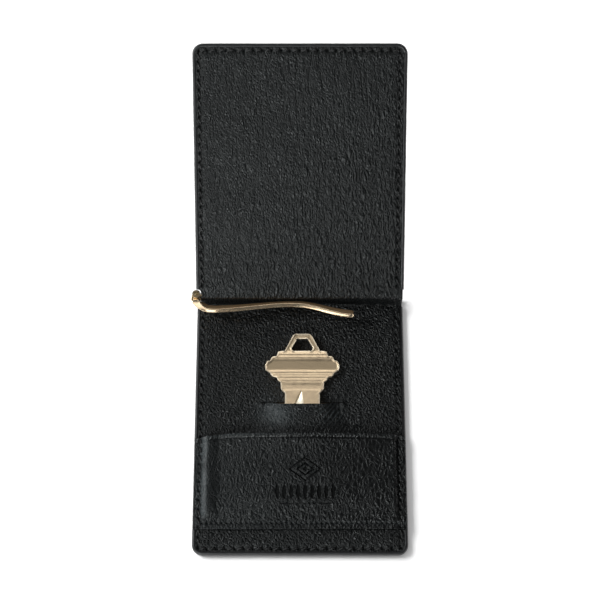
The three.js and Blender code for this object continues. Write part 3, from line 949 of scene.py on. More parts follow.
class StitchLine:
    """Stitches at an even pitch along a line in a panel's plan."""

    def __init__(self, points, pitch, length, radius):
        points = np.array(points, float)
        run = np.concatenate([[0], np.cumsum(np.linalg.norm(np.diff(points, axis=0), axis=1))])
        count = int(run[-1] // pitch)
        spots = (np.arange(count) + 0.5) * run[-1] / count

        def at(lengths):
            return np.stack([np.interp(lengths, run, points[:, i]) for i in range(2)], axis=1)

        self.centres = at(spots)
        reach = 0.3
        along = at(spots + reach) - at(spots - reach)
        self.along = along / np.linalg.norm(along, axis=1)[:, None]
        self.pitch = run[-1] / count
        self.length = length
        self.radius = radius

    def dents(self, x, y):
        """How far the leather is pulled down by the holes and by the tight thread between them."""
        holes = np.zeros(np.broadcast(x, y).shape)
        channel = np.zeros_like(holes)
        width = self.radius * 1.5
        for (cx, cy), (tx, ty) in zip(self.centres, self.along):
            dx = x - cx
            dy = y - cy
            t = dx * tx + dy * ty
            w = dy * tx - dx * ty
            near = np.exp(-((w / (2.2 * width)) ** 2))
            channel = np.maximum(channel, near * (np.abs(t) < 0.52 * self.pitch))
            for end in (-0.5, 0.5):
                hole = ((t - end * self.pitch) / width) ** 2 + (w / width) ** 2
                holes = np.maximum(holes, np.exp(-hole))
        scale = self.radius / DEPTHS_RADIUS
        return scale * (HOLE_DEPTH * holes + CHANNEL_DEPTH * channel)

    def thread(self, name, place, level, body, node):
        """The thread itself: a short slanted bead for each stitch, its ends in the holes."""
        rng = np.random.default_rng(len(self.centres))
        parts = []
        along = np.linspace(-1, 1, 7)
        around = np.linspace(0, 2 * math.pi, 8, endpoint=False)
        for (cx, cy), (tx, ty) in zip(self.centres, self.along):
            slant = STITCH_SLANT * rng.uniform(0.8, 1.2)
            dx = tx * math.cos(slant) - ty * math.sin(slant)
            dy = tx * math.sin(slant) + ty * math.cos(slant)
            rise = rng.uniform(0.9, 1.1)
            rings = []
            for a in along:
                arch = math.sqrt(max(0.0, 1 - a * a))
                thick = self.radius * (0.5 + 0.5 * arch)
                across = thick * np.cos(around)
                x = cx + dx * a * self.length / 2 - dy * across
                y = cy + dy * a * self.length / 2 + dx * across
                height = level(cx, cy) + self.radius * (1.15 * rise * arch - 1.0)
                rings.append(place(x, y, height + thick * 0.8 * np.sin(around)))
            parts.append(rings_mesh(rings))
        points, faces = merge_parts(parts)
        piece = face_outwards(make_piece(name, points, faces, MATERIALS["thread"]))
        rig.ride(piece, body)
        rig.slot(piece, "thread")
        if node:
            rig.replaces(piece, node)
        return piece


def three_sides(foot, end, inset):
    """A stitch line's plan: up the left side from the fold, round the free end, and back."""
    half = HALF_WIDTH - inset
    inwards = math.copysign(1, foot - end)
    far = end + inwards * (inset - 0.1)
    bend = 1.7
    left = [(-half, foot), (-half, far + inwards * bend)]
    for degrees in (22, 45, 68):
        angle = math.radians(degrees)
        corner_x = -half + bend * (1 - math.cos(angle))
        left.append((corner_x, far + inwards * bend * (1 - math.sin(angle))))
    left.append((-half + bend, far))
    return left + [(-x, y) for x, y in reversed(left)]


BORDER = {"pitch": 3.4, "length": 2.5, "radius": 0.32}
SEAM = {"pitch": 1.85, "length": 1.25, "radius": 0.24}
BACK_FOOT = LOW_FOLD[1] - 3.3  # where the borders' stitches end, at the folds
COVER_FOOT = 3.1
BACK_LINE = StitchLine(three_sides(BACK_FOOT, NEAR_Y, STITCH_INSET), **BORDER)
COVER_LINE = StitchLine(three_sides(COVER_FOOT, COVER_END, STITCH_INSET), **BORDER)
SEAM_HALF = HALF_WIDTH - STITCH_INSET - 1.2
SEAM_LINE = StitchLine([(-SEAM_HALF, POCKET_SEAM_Y), (SEAM_HALF, POCKET_SEAM_Y)], **SEAM)


# ---- Leather moulded over what lies under it ----

def key_lift(x, y):
    """How far the lining is raised over the key's blade, with wider flanks further in."""
    depth = SLIT_Y - y
    clearance = 0.12
    full = KEY_Z + KEY_THICK - KEY_SLOPE * depth + clearance - LINING_LOW[2]
    beyond = smooth(depth, BLADE_LENGTH - 4, BLADE_LENGTH + 9)
    flat_half = 7.3 - 3.4 * smooth(depth, 3, 9)
    reach = SLIT_HALF - 1.4 + 11.4 * smooth(depth, 2, 18)
    aside = smooth(np.abs(x - KEY_X), flat_half, reach)
    return np.where(depth < 0, 0.0, full * (1 - beyond) * (1 - aside))


def pocket_lift(x, y):
    """The card pocket's moulded shoulders and end, over the key as well."""
    side = fall(np.abs(x), SHOULDER - 2.4, SHOULDER)
    end = smooth(y, POCKET_SEAM_Y + 0.6, POCKET_SEAM_Y + 9)
    dome = 0.9 * np.clip(1 - (x / SHOULDER) ** 2, 0, 1) * smooth(y, POCKET_SEAM_Y + 1, POCKET_SEAM_Y + 14)
    return (np.abs(CARD_ROOM * side * end + dome) ** 4 + key_lift(x, y) ** 4) ** 0.25


def border_dip(x, y, low, high):
    """The sheets turn down a little where they meet the painted edge."""
    inside = np.minimum(HALF_WIDTH - np.abs(x), np.minimum(y - low, high - y))
    return 0.26 * fall(inside, EDGE_WIDTH - 0.4, EDGE_WIDTH + 0.8)


LIP_RISE = 0.3  # heights of the slit's lip, of its round edge and of the nicks at its ends
LIP_ROUND = 0.25
NICK_RISE = 0.8


def slanting_folds(x, y):
    """The small slanting folds right of the key: how far they show, and their wave."""
    place = bell(x - KEY_X, 10.5, 4.6) * bell(y, SLIT_Y - 4.5, 4.0)
    return place, np.sin((x - KEY_X) * 3.0 - y * 2.4 + 1.2 * ripple(x, y, 4, 8))


def lining_height(x, y):
    """The back lining's face over its flat level: hump, slit lips, wrinkles beside it and stitching."""
    hump = key_lift(x, y)
    below = SLIT_Y - SLIT_GAP / 2 - y
    near_side = below > -0.01  # the leather on the blade's side of the slit
    lip = LIP_RISE * fall(below, 0.3, 2.0) - LIP_ROUND * fall(below, 0.0, 0.3)
    lip = lip * near_side * fall(np.abs(x - KEY_X), SLIT_HALF - 1.2, SLIT_HALF + 0.3)
    beside = bell(np.abs(x - KEY_X), 12.0, 3.6) * bell(y, SLIT_Y - 4.5, 4.5) * near_side
    folds = 0.07 * beside * np.sin((x - KEY_X) * 2.1 - y * 1.5 + 0.8 * ripple(x, y, 3, 9))
    place, wave = slanting_folds(x, y)
    folds = folds + 0.13 * place * wave * near_side
    left_end = KEY_X - SLIT_HALF + 0.5
    right_end = KEY_X + SLIT_HALF - 0.4
    nick_left = NICK_RISE * bell(np.hypot(x - left_end, y - (SLIT_Y - 0.9)), 0, 0.7)
    nick_right = NICK_RISE * bell(np.hypot(x - right_end, (y - (SLIT_Y - 0.6)) * 0.7), 0, 0.8)
    waves = 0.07 * ripple(x, y, 5, 26)
    ground = border_dip(x, y, NEAR_Y, 1e3) + BACK_LINE.dents(x, y)
    return hump + lip + folds + nick_left + nick_right + waves - ground


def cover_height(x, along):
    waves = 0.1 * ripple(x, along, 8, 34) + 0.03 * ripple(x, along, 9, 9)
    return waves - border_dip(x, along, -1e3, COVER_END) - COVER_LINE.dents(x, along)


# ---- Sheets ----

SHEET_HALF = HALF_WIDTH - SHEET_INSET
FOLD_LEFT = SPINE_LOW[0] - 0.5
FOLD_RIGHT = SPINE_HIGH[0]


def sheet_sides(from_free_end, from_fold):
    """Left and right ends of a sheet's rows: rounded at the free end, narrower at the fold."""
    radius = CORNER - SHEET_INSET
    away = np.clip(radius - from_free_end, 0, radius)
    corner = radius - np.sqrt(radius ** 2 - away ** 2)
    narrow = fall(from_fold, -0.2, 1.2)
    left = -SHEET_HALF + corner + (FOLD_LEFT + SHEET_HALF) * narrow
    right = SHEET_HALF - corner + (FOLD_RIGHT - SHEET_HALF) * narrow
    return left, right


def leather_sheet(name, material, profile, rows, columns, sides, thickness, height,
                  is_open=None, slide=None, painted_sheen=None):
    """A sheet along a profile. height(x, s) gives its face and its underside over the profile;
    the face is to the left of the profile where thickness is positive, and else to its right.
    slide(x, s) moves its points in +Y, and the last argument says where its grain is smoothed, made glossier and
    painted paler, a painted sheen."""
    y, z, heading = profile.at(rows)
    left, right = sides
    x = left[:, None] + (right - left)[:, None] * (columns + SHEET_HALF)[None, :] / (2 * SHEET_HALF)
    s = np.broadcast_to(rows[:, None], x.shape)
    thick = np.broadcast_to(np.asarray(thickness, float).reshape(-1, 1), x.shape)
    out = np.sign(thick)
    face, under = height(x, s)
    moved = slide(x, s) if slide else 0.0

    def surface(offset):
        ny = -np.sin(heading)[:, None] * out
        nz = np.cos(heading)[:, None] * out
        return np.stack([x, y[:, None] + moved + ny * offset, z[:, None] + nz * offset], axis=-1)

    points, faces, used = closed_grid(columns, rows, surface(face), surface(under - np.abs(thick)), is_open)
    plan = np.stack([x, s, np.zeros_like(x)], axis=-1).reshape(-1, 3)
    values = {"flat": both_faces(plan, used)}
    if painted_sheen:
        shine = np.broadcast_to(painted_sheen(x, s), x.shape).ravel()
        values["painted_sheen"] = both_faces(shine, used)
    piece = make_piece(name, points, faces, material, values=values)
    return sharpen(face_outwards(piece), 50)


def free_rows(length):
    """Rows from a free end inwards, closer together round the corner and under the stitches."""
    corner = (CORNER - SHEET_INSET) * (1 - np.cos(np.linspace(0, math.pi / 2, 15)))
    return np.concatenate([corner[:-1], steps(CORNER - SHEET_INSET, length, CELL)])


def sheet_columns(*marks):
    """Columns across a sheet, finer along its sides, with a line exactly on each mark."""
    border = 3.6
    marks = [-SHEET_HALF, border - SHEET_HALF, *marks, SHEET_HALF - border, SHEET_HALF]
    spans = []
    for a, b in zip(marks, marks[1:]):
        at_side = a == -SHEET_HALF or b == SHEET_HALF
        spans.append(steps(a, b, FINE if at_side else CELL)[:-1])
    return np.concatenate([*spans, [SHEET_HALF]])


SPINE_MIDDLE = (LOW_FOLD[2] + TOP_FOLD[2]) / 2
FREE_START = NEAR_Y + SHEET_INSET


def past_fold(fold, aside, height):
    """A point in metres, this far beyond a fold and at this height."""
    return 0, (fold[1] + aside) * MM, height * MM


# Where the sheets' soft rows begin and end, at the low and at the top fold.
BODY_ENDS = {
    "low": {"start": past_fold(LOW_FOLD, -2.2, 2.0), "end": past_fold(LOW_FOLD, 0.6, 4.5)},
    "top": {"start": past_fold(TOP_FOLD, -0.6, 8.6), "end": past_fold(TOP_FOLD, 2.2, 11.8)},
}


def finish_sheet(piece, bodies, ends, slot, *nodes):
    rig.blend(piece, *bodies, **BODY_ENDS[ends])
    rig.replaces(piece, *nodes)
    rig.slot(piece, slot)


def make_lower_lining():
    """The back panel's lining with the key's slit, turned up the inside of the spine."""
    crease = 1.0
    flat_end = SPINE_LINING_LOW[1] - crease
    profile = Profile(FREE_START, LINING_TOP, 0.0)
    profile.add(flat_end - FREE_START).add(crease * math.pi / 2, math.pi / 2)
    profile.add(SPINE_MIDDLE - LINING_TOP - crease)
    slit_low, slit_high = (SLIT_Y + side * SLIT_GAP / 2 - FREE_START for side in (-1, 1))
    lip = slit_low - np.array([0.45, 0.3, 0.15])
    near = free_rows(slit_low - 0.6)
    rows = np.concatenate([near, lip, [slit_low], steps(slit_high, profile.length, CELL)])
    slit_ends = [KEY_X - SLIT_HALF, KEY_X + SLIT_HALF]

    def height(x, s):
        y = s + FREE_START
        on_panel = fall(s, flat_end - FREE_START - 2, flat_end - FREE_START)
        face = lining_height(x, y) * on_panel
        return face, key_lift(x, y) * on_panel

    def in_slit(x, s):
        return (np.abs(x - KEY_X) < SLIT_HALF) & (s > slit_low) & (s < slit_high)

    def slack(x, s):
        """The lip under the key hangs a little towards the near end."""
        below = slit_low - s
        inside = fall(np.abs(x - KEY_X), 7.5, 13)
        return -LIP_SLACK * inside * fall(below, 0, 5) * (below > -0.01)

    def sheen_amount(x, s):
        """Painted sheen: the leather over the blade's left edge and the crests of the folds on its right are made
        glossier and painted paler, as highlights.
        """
        over_blade = 0.8 * bell(x - KEY_X, -9.5, 6.5) * bell(s, slit_low - 4.2, 4.8)
        place, wave = slanting_folds(x, s + FREE_START)
        return np.clip(over_blade + 0.95 * place * smooth(wave, 0.2, 1.0), 0, 1)

    sides = sheet_sides(rows, flat_end + 0.6 - FREE_START - rows)
    piece = leather_sheet("lower_lining", MATERIALS["back_lining"], profile, rows,
                          sheet_columns(*slit_ends), sides, LINING, height, in_slit, slack, sheen_amount)
    finish_sheet(piece, ("back_panel", "spine_wall"), "low", "lining_leather", "back_lining")


def make_upper_lining():
    """From the middle of the spine's inner face over the fold's roll and up the cover."""
    roll = TOP_FOLD[1] - SPINE_LINING_LOW[1]
    turn = math.pi / 2 - COVER_ANGLE
    profile = Profile(SPINE_LINING_LOW[1], SPINE_MIDDLE, math.pi / 2)
    profile.add(TOP_FOLD[2] - roll / math.cos(COVER_ANGLE) - SPINE_MIDDLE).add(roll * turn, -turn)
    flat_start = profile.length
    fold_offset = -roll * math.tan(COVER_ANGLE)
    profile.add(COVER_END - SHEET_INSET - fold_offset)
    rows = profile.length - free_rows(profile.length)[::-1]
    along = rows - flat_start + fold_offset

    def height(x, s):
        on_cover = smooth(s, flat_start, flat_start + 2)
        face = cover_height(x, s - flat_start + fold_offset) * on_cover
        return face, 0.0 * face

    sides = sheet_sides(profile.length - rows, along - 1.0)
    piece = leather_sheet("upper_lining", MATERIALS["cover_lining"], profile, rows,
                          sheet_columns(), sides, LINING, height)
    finish_sheet(piece, ("spine_wall", "cover"), "top", "lining_leather", "cover_lining", "spine_lining")


def hide_height(x, s, seed, line, plan_y):
    waves = 0.05 * ripple(x, s, seed, 30)
    face = np.minimum(0.0, waves - 0.06) - line.dents(x, plan_y)
    return face, 0.0 * face


def make_lower_hide():
    """The outer leather under the back panel, round the low fold and up the spine."""
    profile = Profile(FREE_START, BACK_LOW[2], 0.0)
    profile.add(LOW_FOLD[1] - FREE_START)
    fold_radius = SPINE_Y - LOW_FOLD[1]
    profile.add(fold_radius * math.pi / 2, math.pi / 2).add(SPINE_MIDDLE - LOW_FOLD[2])
    rows = free_rows(profile.length)
    thickness = -(HIDE + (SPINE_HIDE - HIDE) * smooth(rows, LOW_FOLD[1] - FREE_START - 1, profile.length))
    sides = sheet_sides(rows, LOW_FOLD[1] - 0.6 - FREE_START - rows)
    piece = leather_sheet("lower_hide", MATERIALS["hide"], profile, rows, sheet_columns(), sides, thickness,
                          lambda x, s: hide_height(x, s, 11, BACK_LINE, s + FREE_START))
    finish_sheet(piece, ("back_panel", "spine_wall"), "low", "outer_leather", "back_outer_leather")
    return piece


def make_upper_hide():
    """The outer leather from the middle of the spine, round the inward bend, and up the cover."""
    bend = 2.4
    turn = math.pi / 2 - COVER_ANGLE
    drop = (PANEL_THICK - (SPINE_Y - TOP_FOLD[1]) * math.sin(COVER_ANGLE)) / math.cos(COVER_ANGLE)
    corner = np.array([0, SPINE_Y, TOP_FOLD[2] - drop])
    tangent = bend * math.tan(turn / 2)
    profile = Profile(SPINE_Y, SPINE_MIDDLE, math.pi / 2)
    profile.add(corner[2] - tangent - SPINE_MIDDLE).add(bend * turn, -turn)
    flat_start = profile.length
    start_along = (corner - TOP_FOLD * [0, 1, 1]) @ COVER_ALONG + tangent
    profile.add(COVER_END - SHEET_INSET - start_along)
    rows = profile.length - free_rows(profile.length)[::-1]
    along = rows - flat_start + start_along
    thickness = -(SPINE_HIDE + (HIDE - SPINE_HIDE) * smooth(along, -2, 2))
    sides = sheet_sides(profile.length - rows, along - 1.0)
    piece = leather_sheet("upper_hide", MATERIALS["hide"], profile, rows, sheet_columns(), sides, thickness,
                          lambda x, s: hide_height(x, s, 12, COVER_LINE, s - flat_start + start_along))
    finish_sheet(piece, ("spine_wall", "cover"), "top", "outer_leather",
                 "cover_outer_leather", "spine_outer_leather")


# ---- Painted edges ----

EDGE_RISE = 0.05  # the edge's top over the lining


def edge_section(low, high):
    """The edge's rounded section, as (distance inwards, height) points from its foot upwards."""
    middle = (low + high) / 2
    half = (high - low) / 2
    bulge = 0.85
    section = []
    for phi in np.linspace(-math.pi / 2, math.pi / 2, 13):
        section.append((bulge * (1 - math.cos(phi)), middle + half * math.sin(phi)))
    section += [(EDGE_WIDTH - 0.15, high - 0.03), (EDGE_WIDTH, high - 0.16), (EDGE_WIDTH, low + 0.3)]
    section.append((EDGE_WIDTH - 0.15, low + 0.02))
    return section


def edge_plan(foot, end, heel):
    """The outline's three free sides from the left heel round to the right one."""
    inwards = math.copysign(1, foot - end)
    left = []
    for angle in np.linspace(math.pi / 2, 0, 6)[:-1]:
        x = -HALF_WIDTH + heel * (1 - math.cos(angle))
        left.append((x, foot - inwards * heel * (1 - math.sin(angle))))
    straight = steps(foot - inwards * heel, end + inwards * CORNER, 0.8)
    left += [(-HALF_WIDTH, y) for y in straight]
    for angle in np.linspace(0, math.pi / 2, 9)[1:]:
        x = -HALF_WIDTH + CORNER * (1 - math.cos(angle))
        left.append((x, end + inwards * CORNER * (1 - math.sin(angle))))
    across = [(x, end) for x in steps(-HALF_WIDTH + CORNER, 0, 0.8)[1:]]
    half = left + across
    return np.array(half + [(-x, y) for x, y in reversed(half[:-1])])


def make_edge(name, plan, place, high, body):
    """A painted edge along the plan. high(x, y) is its top over the panel's inner face."""
    facing = 1 if plan[-1][1] > plan[len(plan) // 2][1] else -1
    inwards = outline_normals(plan, False) * facing
    rings = []
    count = len(plan)
    worn = 0.035 * ripple(plan[:, 0], plan[:, 1], 21, 13)
    for i, ((x, y), (nx, ny)) in enumerate(zip(plan, inwards)):
        section = edge_section(-PANEL_THICK, high(x, y) + worn[i] * 0.5)
        inset = np.array([d + max(0.0, worn[i]) for d, _ in section])
        heights = np.array([h for _, h in section])
        fade = min(1.0, 0.35 + min(i, count - 1 - i) / 5)
        middle = heights.mean()
        rings.append(place(x + nx * inset, y + ny * inset, middle + (heights - middle) * fade))
    points, faces = rings_mesh(rings)
    piece = face_outwards(make_piece(name, points, faces, MATERIALS["edge"]))
    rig.ride(piece, body)
    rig.slot(piece, "outer_leather")
    return piece


def on_pocket(y, start, full, falling, end):
    """1 along the card pocket's length, rising and falling over these distances from its ends."""
    rise = smooth(y, POCKET_LOW[1] + start, POCKET_LOW[1] + full)
    return rise * fall(y, POCKET_HIGH[1] - falling, POCKET_HIGH[1] - end)


def back_edge_top(_, y):
    """The edge is thicker where the card pocket's leather is one more layer."""
    return EDGE_RISE + on_pocket(y, -0.9, 0.5, 1.2, 0) * SEAM_LEVEL


# ---- Card pocket ----

POCKET_LIP = 0.55  # radius of the turned mouth
LEFT_RIDGE = 1.1  # heights and depths of the relief
RIGHT_RIDGE = 0.35
GUTTER_DEPTH = 0.16
TURNED_RISE = 0.35
MOUTH_GAPE = 0.8
CUT_RADIUS = 0.3
MOTIF_X = 2.2
MOTIF_DEPTH = 0.3
LOZENGE_Y = -18.5
BEADS_Y = -27
RULE_Y = -31.3


def line_mask(distance, width):
    return fall(np.abs(distance), width / 2 - 0.12, width / 2 + 0.12)


def motif(x, y):
    """A plain pressed ornament: a double lozenge over a row of upright beads and a ruled line."""
    lozenge = np.abs(x - MOTIF_X) / 5.8 + np.abs(y - LOZENGE_Y) / 4.2
    mark = np.maximum(line_mask((lozenge - 1) * 3.4, 0.7), line_mask((lozenge - 0.52) * 3.4, 0.5))
    mark = np.maximum(mark, fall(lozenge, 0.14, 0.24))
    beads = 9
    pitch = 2.6
    offset = x - MOTIF_X + (beads * pitch) / 2
    place = offset / pitch
    local = (place - np.floor(place) - 0.5) * pitch
    bead = (np.abs(local) / 0.85) ** 2 + (np.abs(y - BEADS_Y) / 2.7) ** 2
    in_row = (place > 0) & (place < beads)
    mark = np.maximum(mark, fall(bead, 0.75, 1.1) * in_row)
    ruled = line_mask(y - RULE_Y, 0.45) * fall(np.abs(x - MOTIF_X), 9.2, 9.5)
    return np.maximum(mark, ruled)


def pocket_height(x, y):
    """The pocket's face and underside: a ridge at each side, a gutter beyond it, a pucker along
    the seam, the turned mouth that gapes a little, and the pressed ornament."""
    lift = pocket_lift(x, y)
    inside = smooth(y, POCKET_SEAM_Y + 1, POCKET_SEAM_Y + 4)
    across = np.clip(1 - (x / SHOULDER) ** 2, 0, 1)
    left_ridge = LEFT_RIDGE * np.clip((x + 37.5) / 2.4, 0, 1) * fall(x, -34.9, -29.5) * inside
    right_ridge = RIGHT_RIDGE * bell(x, 35.6, 0.9) * inside
    gutter = -GUTTER_DEPTH * bell(np.abs(x), 37.3, 0.9) * inside
    end_fold = 0.06 * bell(y, POCKET_SEAM_Y + 3.4, 1.1) * (np.abs(x) < SHOULDER)
    pucker = 0.06 * bell(y, POCKET_SEAM_Y + 1.6, 1.5) * np.sin(x * 1.9 + 0.7 * ripple(x, y, 33, 12))
    waves = 0.09 * ripple(x, y, 31, 20) + 0.035 * ripple(x, y, 32, 6)
    mouth = POCKET_HIGH[1] - y
    roll = -POCKET_LIP * round_drop(mouth, POCKET_LIP)
    turned = TURNED_RISE * fall(mouth, 1.2, 1.7)
    gape = MOUTH_GAPE * fall(mouth, 0, 9) * across
    cut = -CUT_RADIUS * round_drop(y - POCKET_LOW[1], CUT_RADIUS)
    pressed = MOTIF_DEPTH * motif(x, y) + SEAM_LINE.dents(x, y) + BACK_LINE.dents(x, y)
    dip = border_dip(x, y, NEAR_Y, 1e3)
    shape = left_ridge + right_ridge + gutter + end_fold + pucker + waves + roll + turned + cut
    return lift + gape + shape - pressed - dip, lift + gape


def pocket_painted_sheen(x, y):
    """Painted sheen, glossier and paler: highlights on the ridge on the left and on the mouth's lip, a band along the
    seam, the lip and seam partly wear, and a broad wash of painted light over the left side.
    """
    ridge = bell(x, -36.2, 1.4) * smooth(y, POCKET_SEAM_Y + 1, POCKET_SEAM_Y + 4)
    # the last term: painted light, a faint paler wash over the left side
    ridge = ridge * (1.0 + 0.35 * ripple(x * 0.3, y, 41, 9)) + 0.12 * fall(x, -30, 12)
    lip = bell(POCKET_HIGH[1] - y, 0.7, 0.35) * (0.7 - 0.6 * smooth(x, -34, 4))
    along_seam = 0.35 * bell(y, POCKET_SEAM_Y, 0.6)
    return np.clip(np.maximum(np.maximum(ridge, lip), along_seam), 0, 1)


def pocket_pressed_and_shade(x, y):
    """Flattened and dark: the pressed ornament, painted shade in a line along the foot of the mouth's turned edge, and
    a little painted shade over the right side.
    """
    # painted shade: the dark line at the foot of the turned mouth
    groove = bell(POCKET_HIGH[1] - y, 1.9, 0.5)
    return np.maximum(np.maximum(motif(x, y), groove), 0.3 * smooth(x, 0, 34))


def make_pocket():
    """The card pocket: one moulded piece with a turned mouth, closed by a seam at its near end."""
    fine = 0.2
    cell = 0.25
    motif_x = (MOTIF_X - 12.6, MOTIF_X + 12.6)
    motif_y = (-32.2, -13.6)
    columns = np.concatenate([
        steps(-SHEET_HALF, motif_x[0], cell)[:-1],
        steps(*motif_x, fine),
        steps(motif_x[1], SHEET_HALF, cell)[1:],
    ])
    rows = np.concatenate([
        POCKET_LOW[1] + np.array([0, 0.06, 0.16, 0.3]),
        steps(POCKET_LOW[1] + 0.6, POCKET_LOW[1] + 4, 0.2)[:-1],
        steps(POCKET_LOW[1] + 4, motif_y[0], 0.3)[:-1],
        steps(*motif_y, fine),
        steps(motif_y[1], POCKET_HIGH[1] - 0.7, CELL)[1:],
        POCKET_HIGH[1] - np.array([0.5, 0.35, 0.2, 0.1, 0.04, 0]),
    ])
    x, y = np.meshgrid(columns, rows)
    face, under = pocket_height(x, y)
    mouth_droop = 1.5 * smooth(-x, 24, 39) + 0.5 * smooth(x, 26, 39)
    shifted = y - mouth_droop * smooth(y, POCKET_HIGH[1] - 14, POCKET_HIGH[1])
    base = POCKET_BASE - LINING_TOP
    top = back_place(x, shifted, base + POCKET_THICK + face)
    bottom = back_place(x, shifted, base + under)
    points, faces, used = closed_grid(columns, rows, top, bottom)
    plan = np.stack([x, y, 0 * x], axis=-1).reshape(-1, 3)
    values = {
        "flat": both_faces(plan, used),
        # the sheen values paint highlights and light on the left; the pressed values also paint shade at the mouth and
        # on the right
        "painted_sheen": both_faces(pocket_painted_sheen(x, y).ravel(), used),
        "pressed": both_faces(pocket_pressed_and_shade(x, y).ravel(), used),
    }
    piece = make_piece("card_pocket_leather", points, faces, MATERIALS["pocket"], values=values)
    sharpen(face_outwards(piece), 60)
    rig.ride(piece, "back_panel")
    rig.replaces(piece, "card_pocket")
    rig.slot(piece, "lining_leather")
    return piece


# ---- Stitching ----

def lining_level(_, y):
    """The level that the border's thread lies on: the lining, or the pocket where that covers it."""
    return float(on_pocket(y, -0.3, 0.3, 0.9, 0.3) * SEAM_LEVEL)


def under_back(x, y, height):
    return np.stack(np.broadcast_arrays(x, y, BACK_LOW[2] - np.minimum(height, 0)), axis=-1).astype(float)


def under_cover(x, along, height):
    return cover_place(x, along, -PANEL_THICK - np.asarray(height))


def make_stitching():
    BACK_LINE.thread("back_border_stitches", back_place, lining_level, "back_panel", "back_stitching")
    COVER_LINE.thread("cover_border_stitches", cover_place, lambda x, y: 0.0, "cover", "cover_stitching")
    SEAM_LINE.thread("card_pocket_stitches", back_place, lambda x, y: SEAM_LEVEL,
                     "back_panel", "card_pocket_stitching")
    COVER_LINE.thread("cover_outside_stitches", under_cover, lambda x, y: 0.0, "cover", None)
    BACK_LINE.thread("back_outside_stitches", under_back, lambda x, y: -0.05, "back_panel", None)


# ---- Clip ----

ARM_THICK = 1.65
ARM_WIDTH = 3.6
ARM_TOP = 10.0
KNUCKLE_RADIUS = 1.6
KNUCKLE_LOW = 7.25
KNUCKLE_TOP = 9.55
PIN_RADIUS = 0.65
# The arm's upper edge, as the frame's arm has it: X, distance in front of the spine, lean in degrees.
ARM_ROUTE = [
    (-41.1, 1.6, 0), (-41.2, 3.1, 0), (-40.9, 4.1, 8), (-40.0, 5.4, 20), (-38.6, 6.7, 32),
    (-36.3, 7.9, 42), (-33.0, 8.35, 44), (-29.0, 8.15, 42), (-22.8, 7.55, 37), (-15.5, 6.75, 34),
    (-9.0, 6.15, 33), (-3.6, 5.95, 33), (1.0, 6.15, 34), (5.0, 6.9, 36), (9.5, 8.2, 40),
    (14.0, 9.45, 44), (18.0, 10.2, 46), (20.6, 10.4, 46),
]
NECK_STATIONS = 2
NECK_EXTRA = 0.9  # the neck is thicker on its inner side


def smooth_route(stations, count):
    """A Catmull-Rom curve through rows of numbers."""
    stations = np.array(stations, float)
    before = 2 * stations[:1] - stations[1:2]
    after = 2 * stations[-1:] - stations[-2:-1]
    padded = np.concatenate([before, stations, after])
    rows = []
    for t in np.linspace(0, len(stations) - 1 - 1e-9, count):
        i = int(t)
        f = t - i
        p0, p1, p2, p3 = padded[i:i + 4]
        rows.append(0.5 * (2 * p1 + (p2 - p0) * f + (2 * p0 - 5 * p1 + 4 * p2 - p3) * f ** 2
                           + (3 * p1 - p0 - 3 * p2 + p3) * f ** 3))
    return np.array(rows)


def rounded_section(width, height, radius, per_corner=5):
    """Points round a rectangle with round corners, centred on nought."""
    points = []
    for quarter in range(4):
        cx = (width / 2 - radius) * (1 if quarter in (0, 3) else -1)
        cy = (height / 2 - radius) * (1 if quarter in (0, 1) else -1)
        for angle in np.linspace(quarter * math.pi / 2, (quarter + 1) * math.pi / 2, per_corner):
            points.append((cx + radius * math.cos(angle), cy + radius * math.sin(angle)))
    return np.array(points)


def arm_rings():
    """Round-cornered sections along the arm's route, thinner and narrower at its tip."""
    stations = []
    for number, (x, front, lean) in enumerate(ARM_ROUTE):
        neck = number < NECK_STATIONS
        top = KNUCKLE_TOP if neck else ARM_TOP
        width = KNUCKLE_TOP - KNUCKLE_LOW if neck else ARM_WIDTH
        stations.append((x, SPINE_Y - front, top, width, lean))
    route = smooth_route(stations, 150)
    tip_x = route[-1][0]
    along = np.gradient(route[:, :2], axis=0)
    along /= np.linalg.norm(along, axis=1)[:, None]
    rings = []
    for (x, y, top, width, lean), (tx, ty) in zip(route, along):
        outwards = np.array([ty, -tx, 0])
        up = np.array([0, 0, 1])
        angle = math.radians(lean)
        rise = up * math.cos(angle) + outwards * math.sin(angle)
        through = outwards * math.cos(angle) - up * math.sin(angle)
        ending = ARM_THICK * 0.9
        t = np.clip((ending - (tip_x - x)) / ending, 0, 1)
        full = math.sqrt(max(0.0, 1 - (0.97 * t) ** 2))
        broad = NECK_EXTRA * float(fall(x, -40.4, -35.5))
        thick = ARM_THICK * (0.35 + 0.65 * full) + broad
        section = rounded_section(thick, width * (0.55 + 0.45 * full), 0.3 * full + 0.05)
        centre = np.array([x, y, top]) - rise * width / 2 - outwards * broad / 2
        rings.append([centre + through * a + rise * b for a, b in section])
    return rings


def bevelled_ring(inner, outer, low, high, edge=0.16):
    """A ring's section with its edges rounded, as (radius, z) points."""
    section = rounded_section(outer - inner, high - low, edge, 4)
    return [((inner + outer) / 2 + a, (low + high) / 2 + b) for a, b in section]


def unite(piece, other):
    """Joins a closed piece into another, as one skin."""
    step = piece.modifiers.new("union", "BOOLEAN")
    step.operation = "UNION"
    step.solver = "EXACT"
    step.object = other
    graph = bpy.context.evaluated_depsgraph_get()
    joined = bpy.data.meshes.new_from_object(piece.evaluated_get(graph))
    piece.modifiers.clear()
    piece.data = joined
    bpy.data.objects.remove(other)


def mark_broad_faces(arm):
    """Keeps, as the "dull" attribute, how far each point lies on the strip's inner broad face, where the gilt is made
    rougher and painted browner as shade.
    """
    mesh = arm.data
    dull = mesh.attributes.new("dull", "FLOAT", "POINT")
    values = []
    for vertex in mesh.vertices:
        along_fold = smooth(vertex.co.x / MM, -39.5, -37.0)
        inner = smooth(vertex.normal.y, 0.4, 0.65)
        values.append(float(along_fold * inner))
    dull.data.foreach_set("value", values)


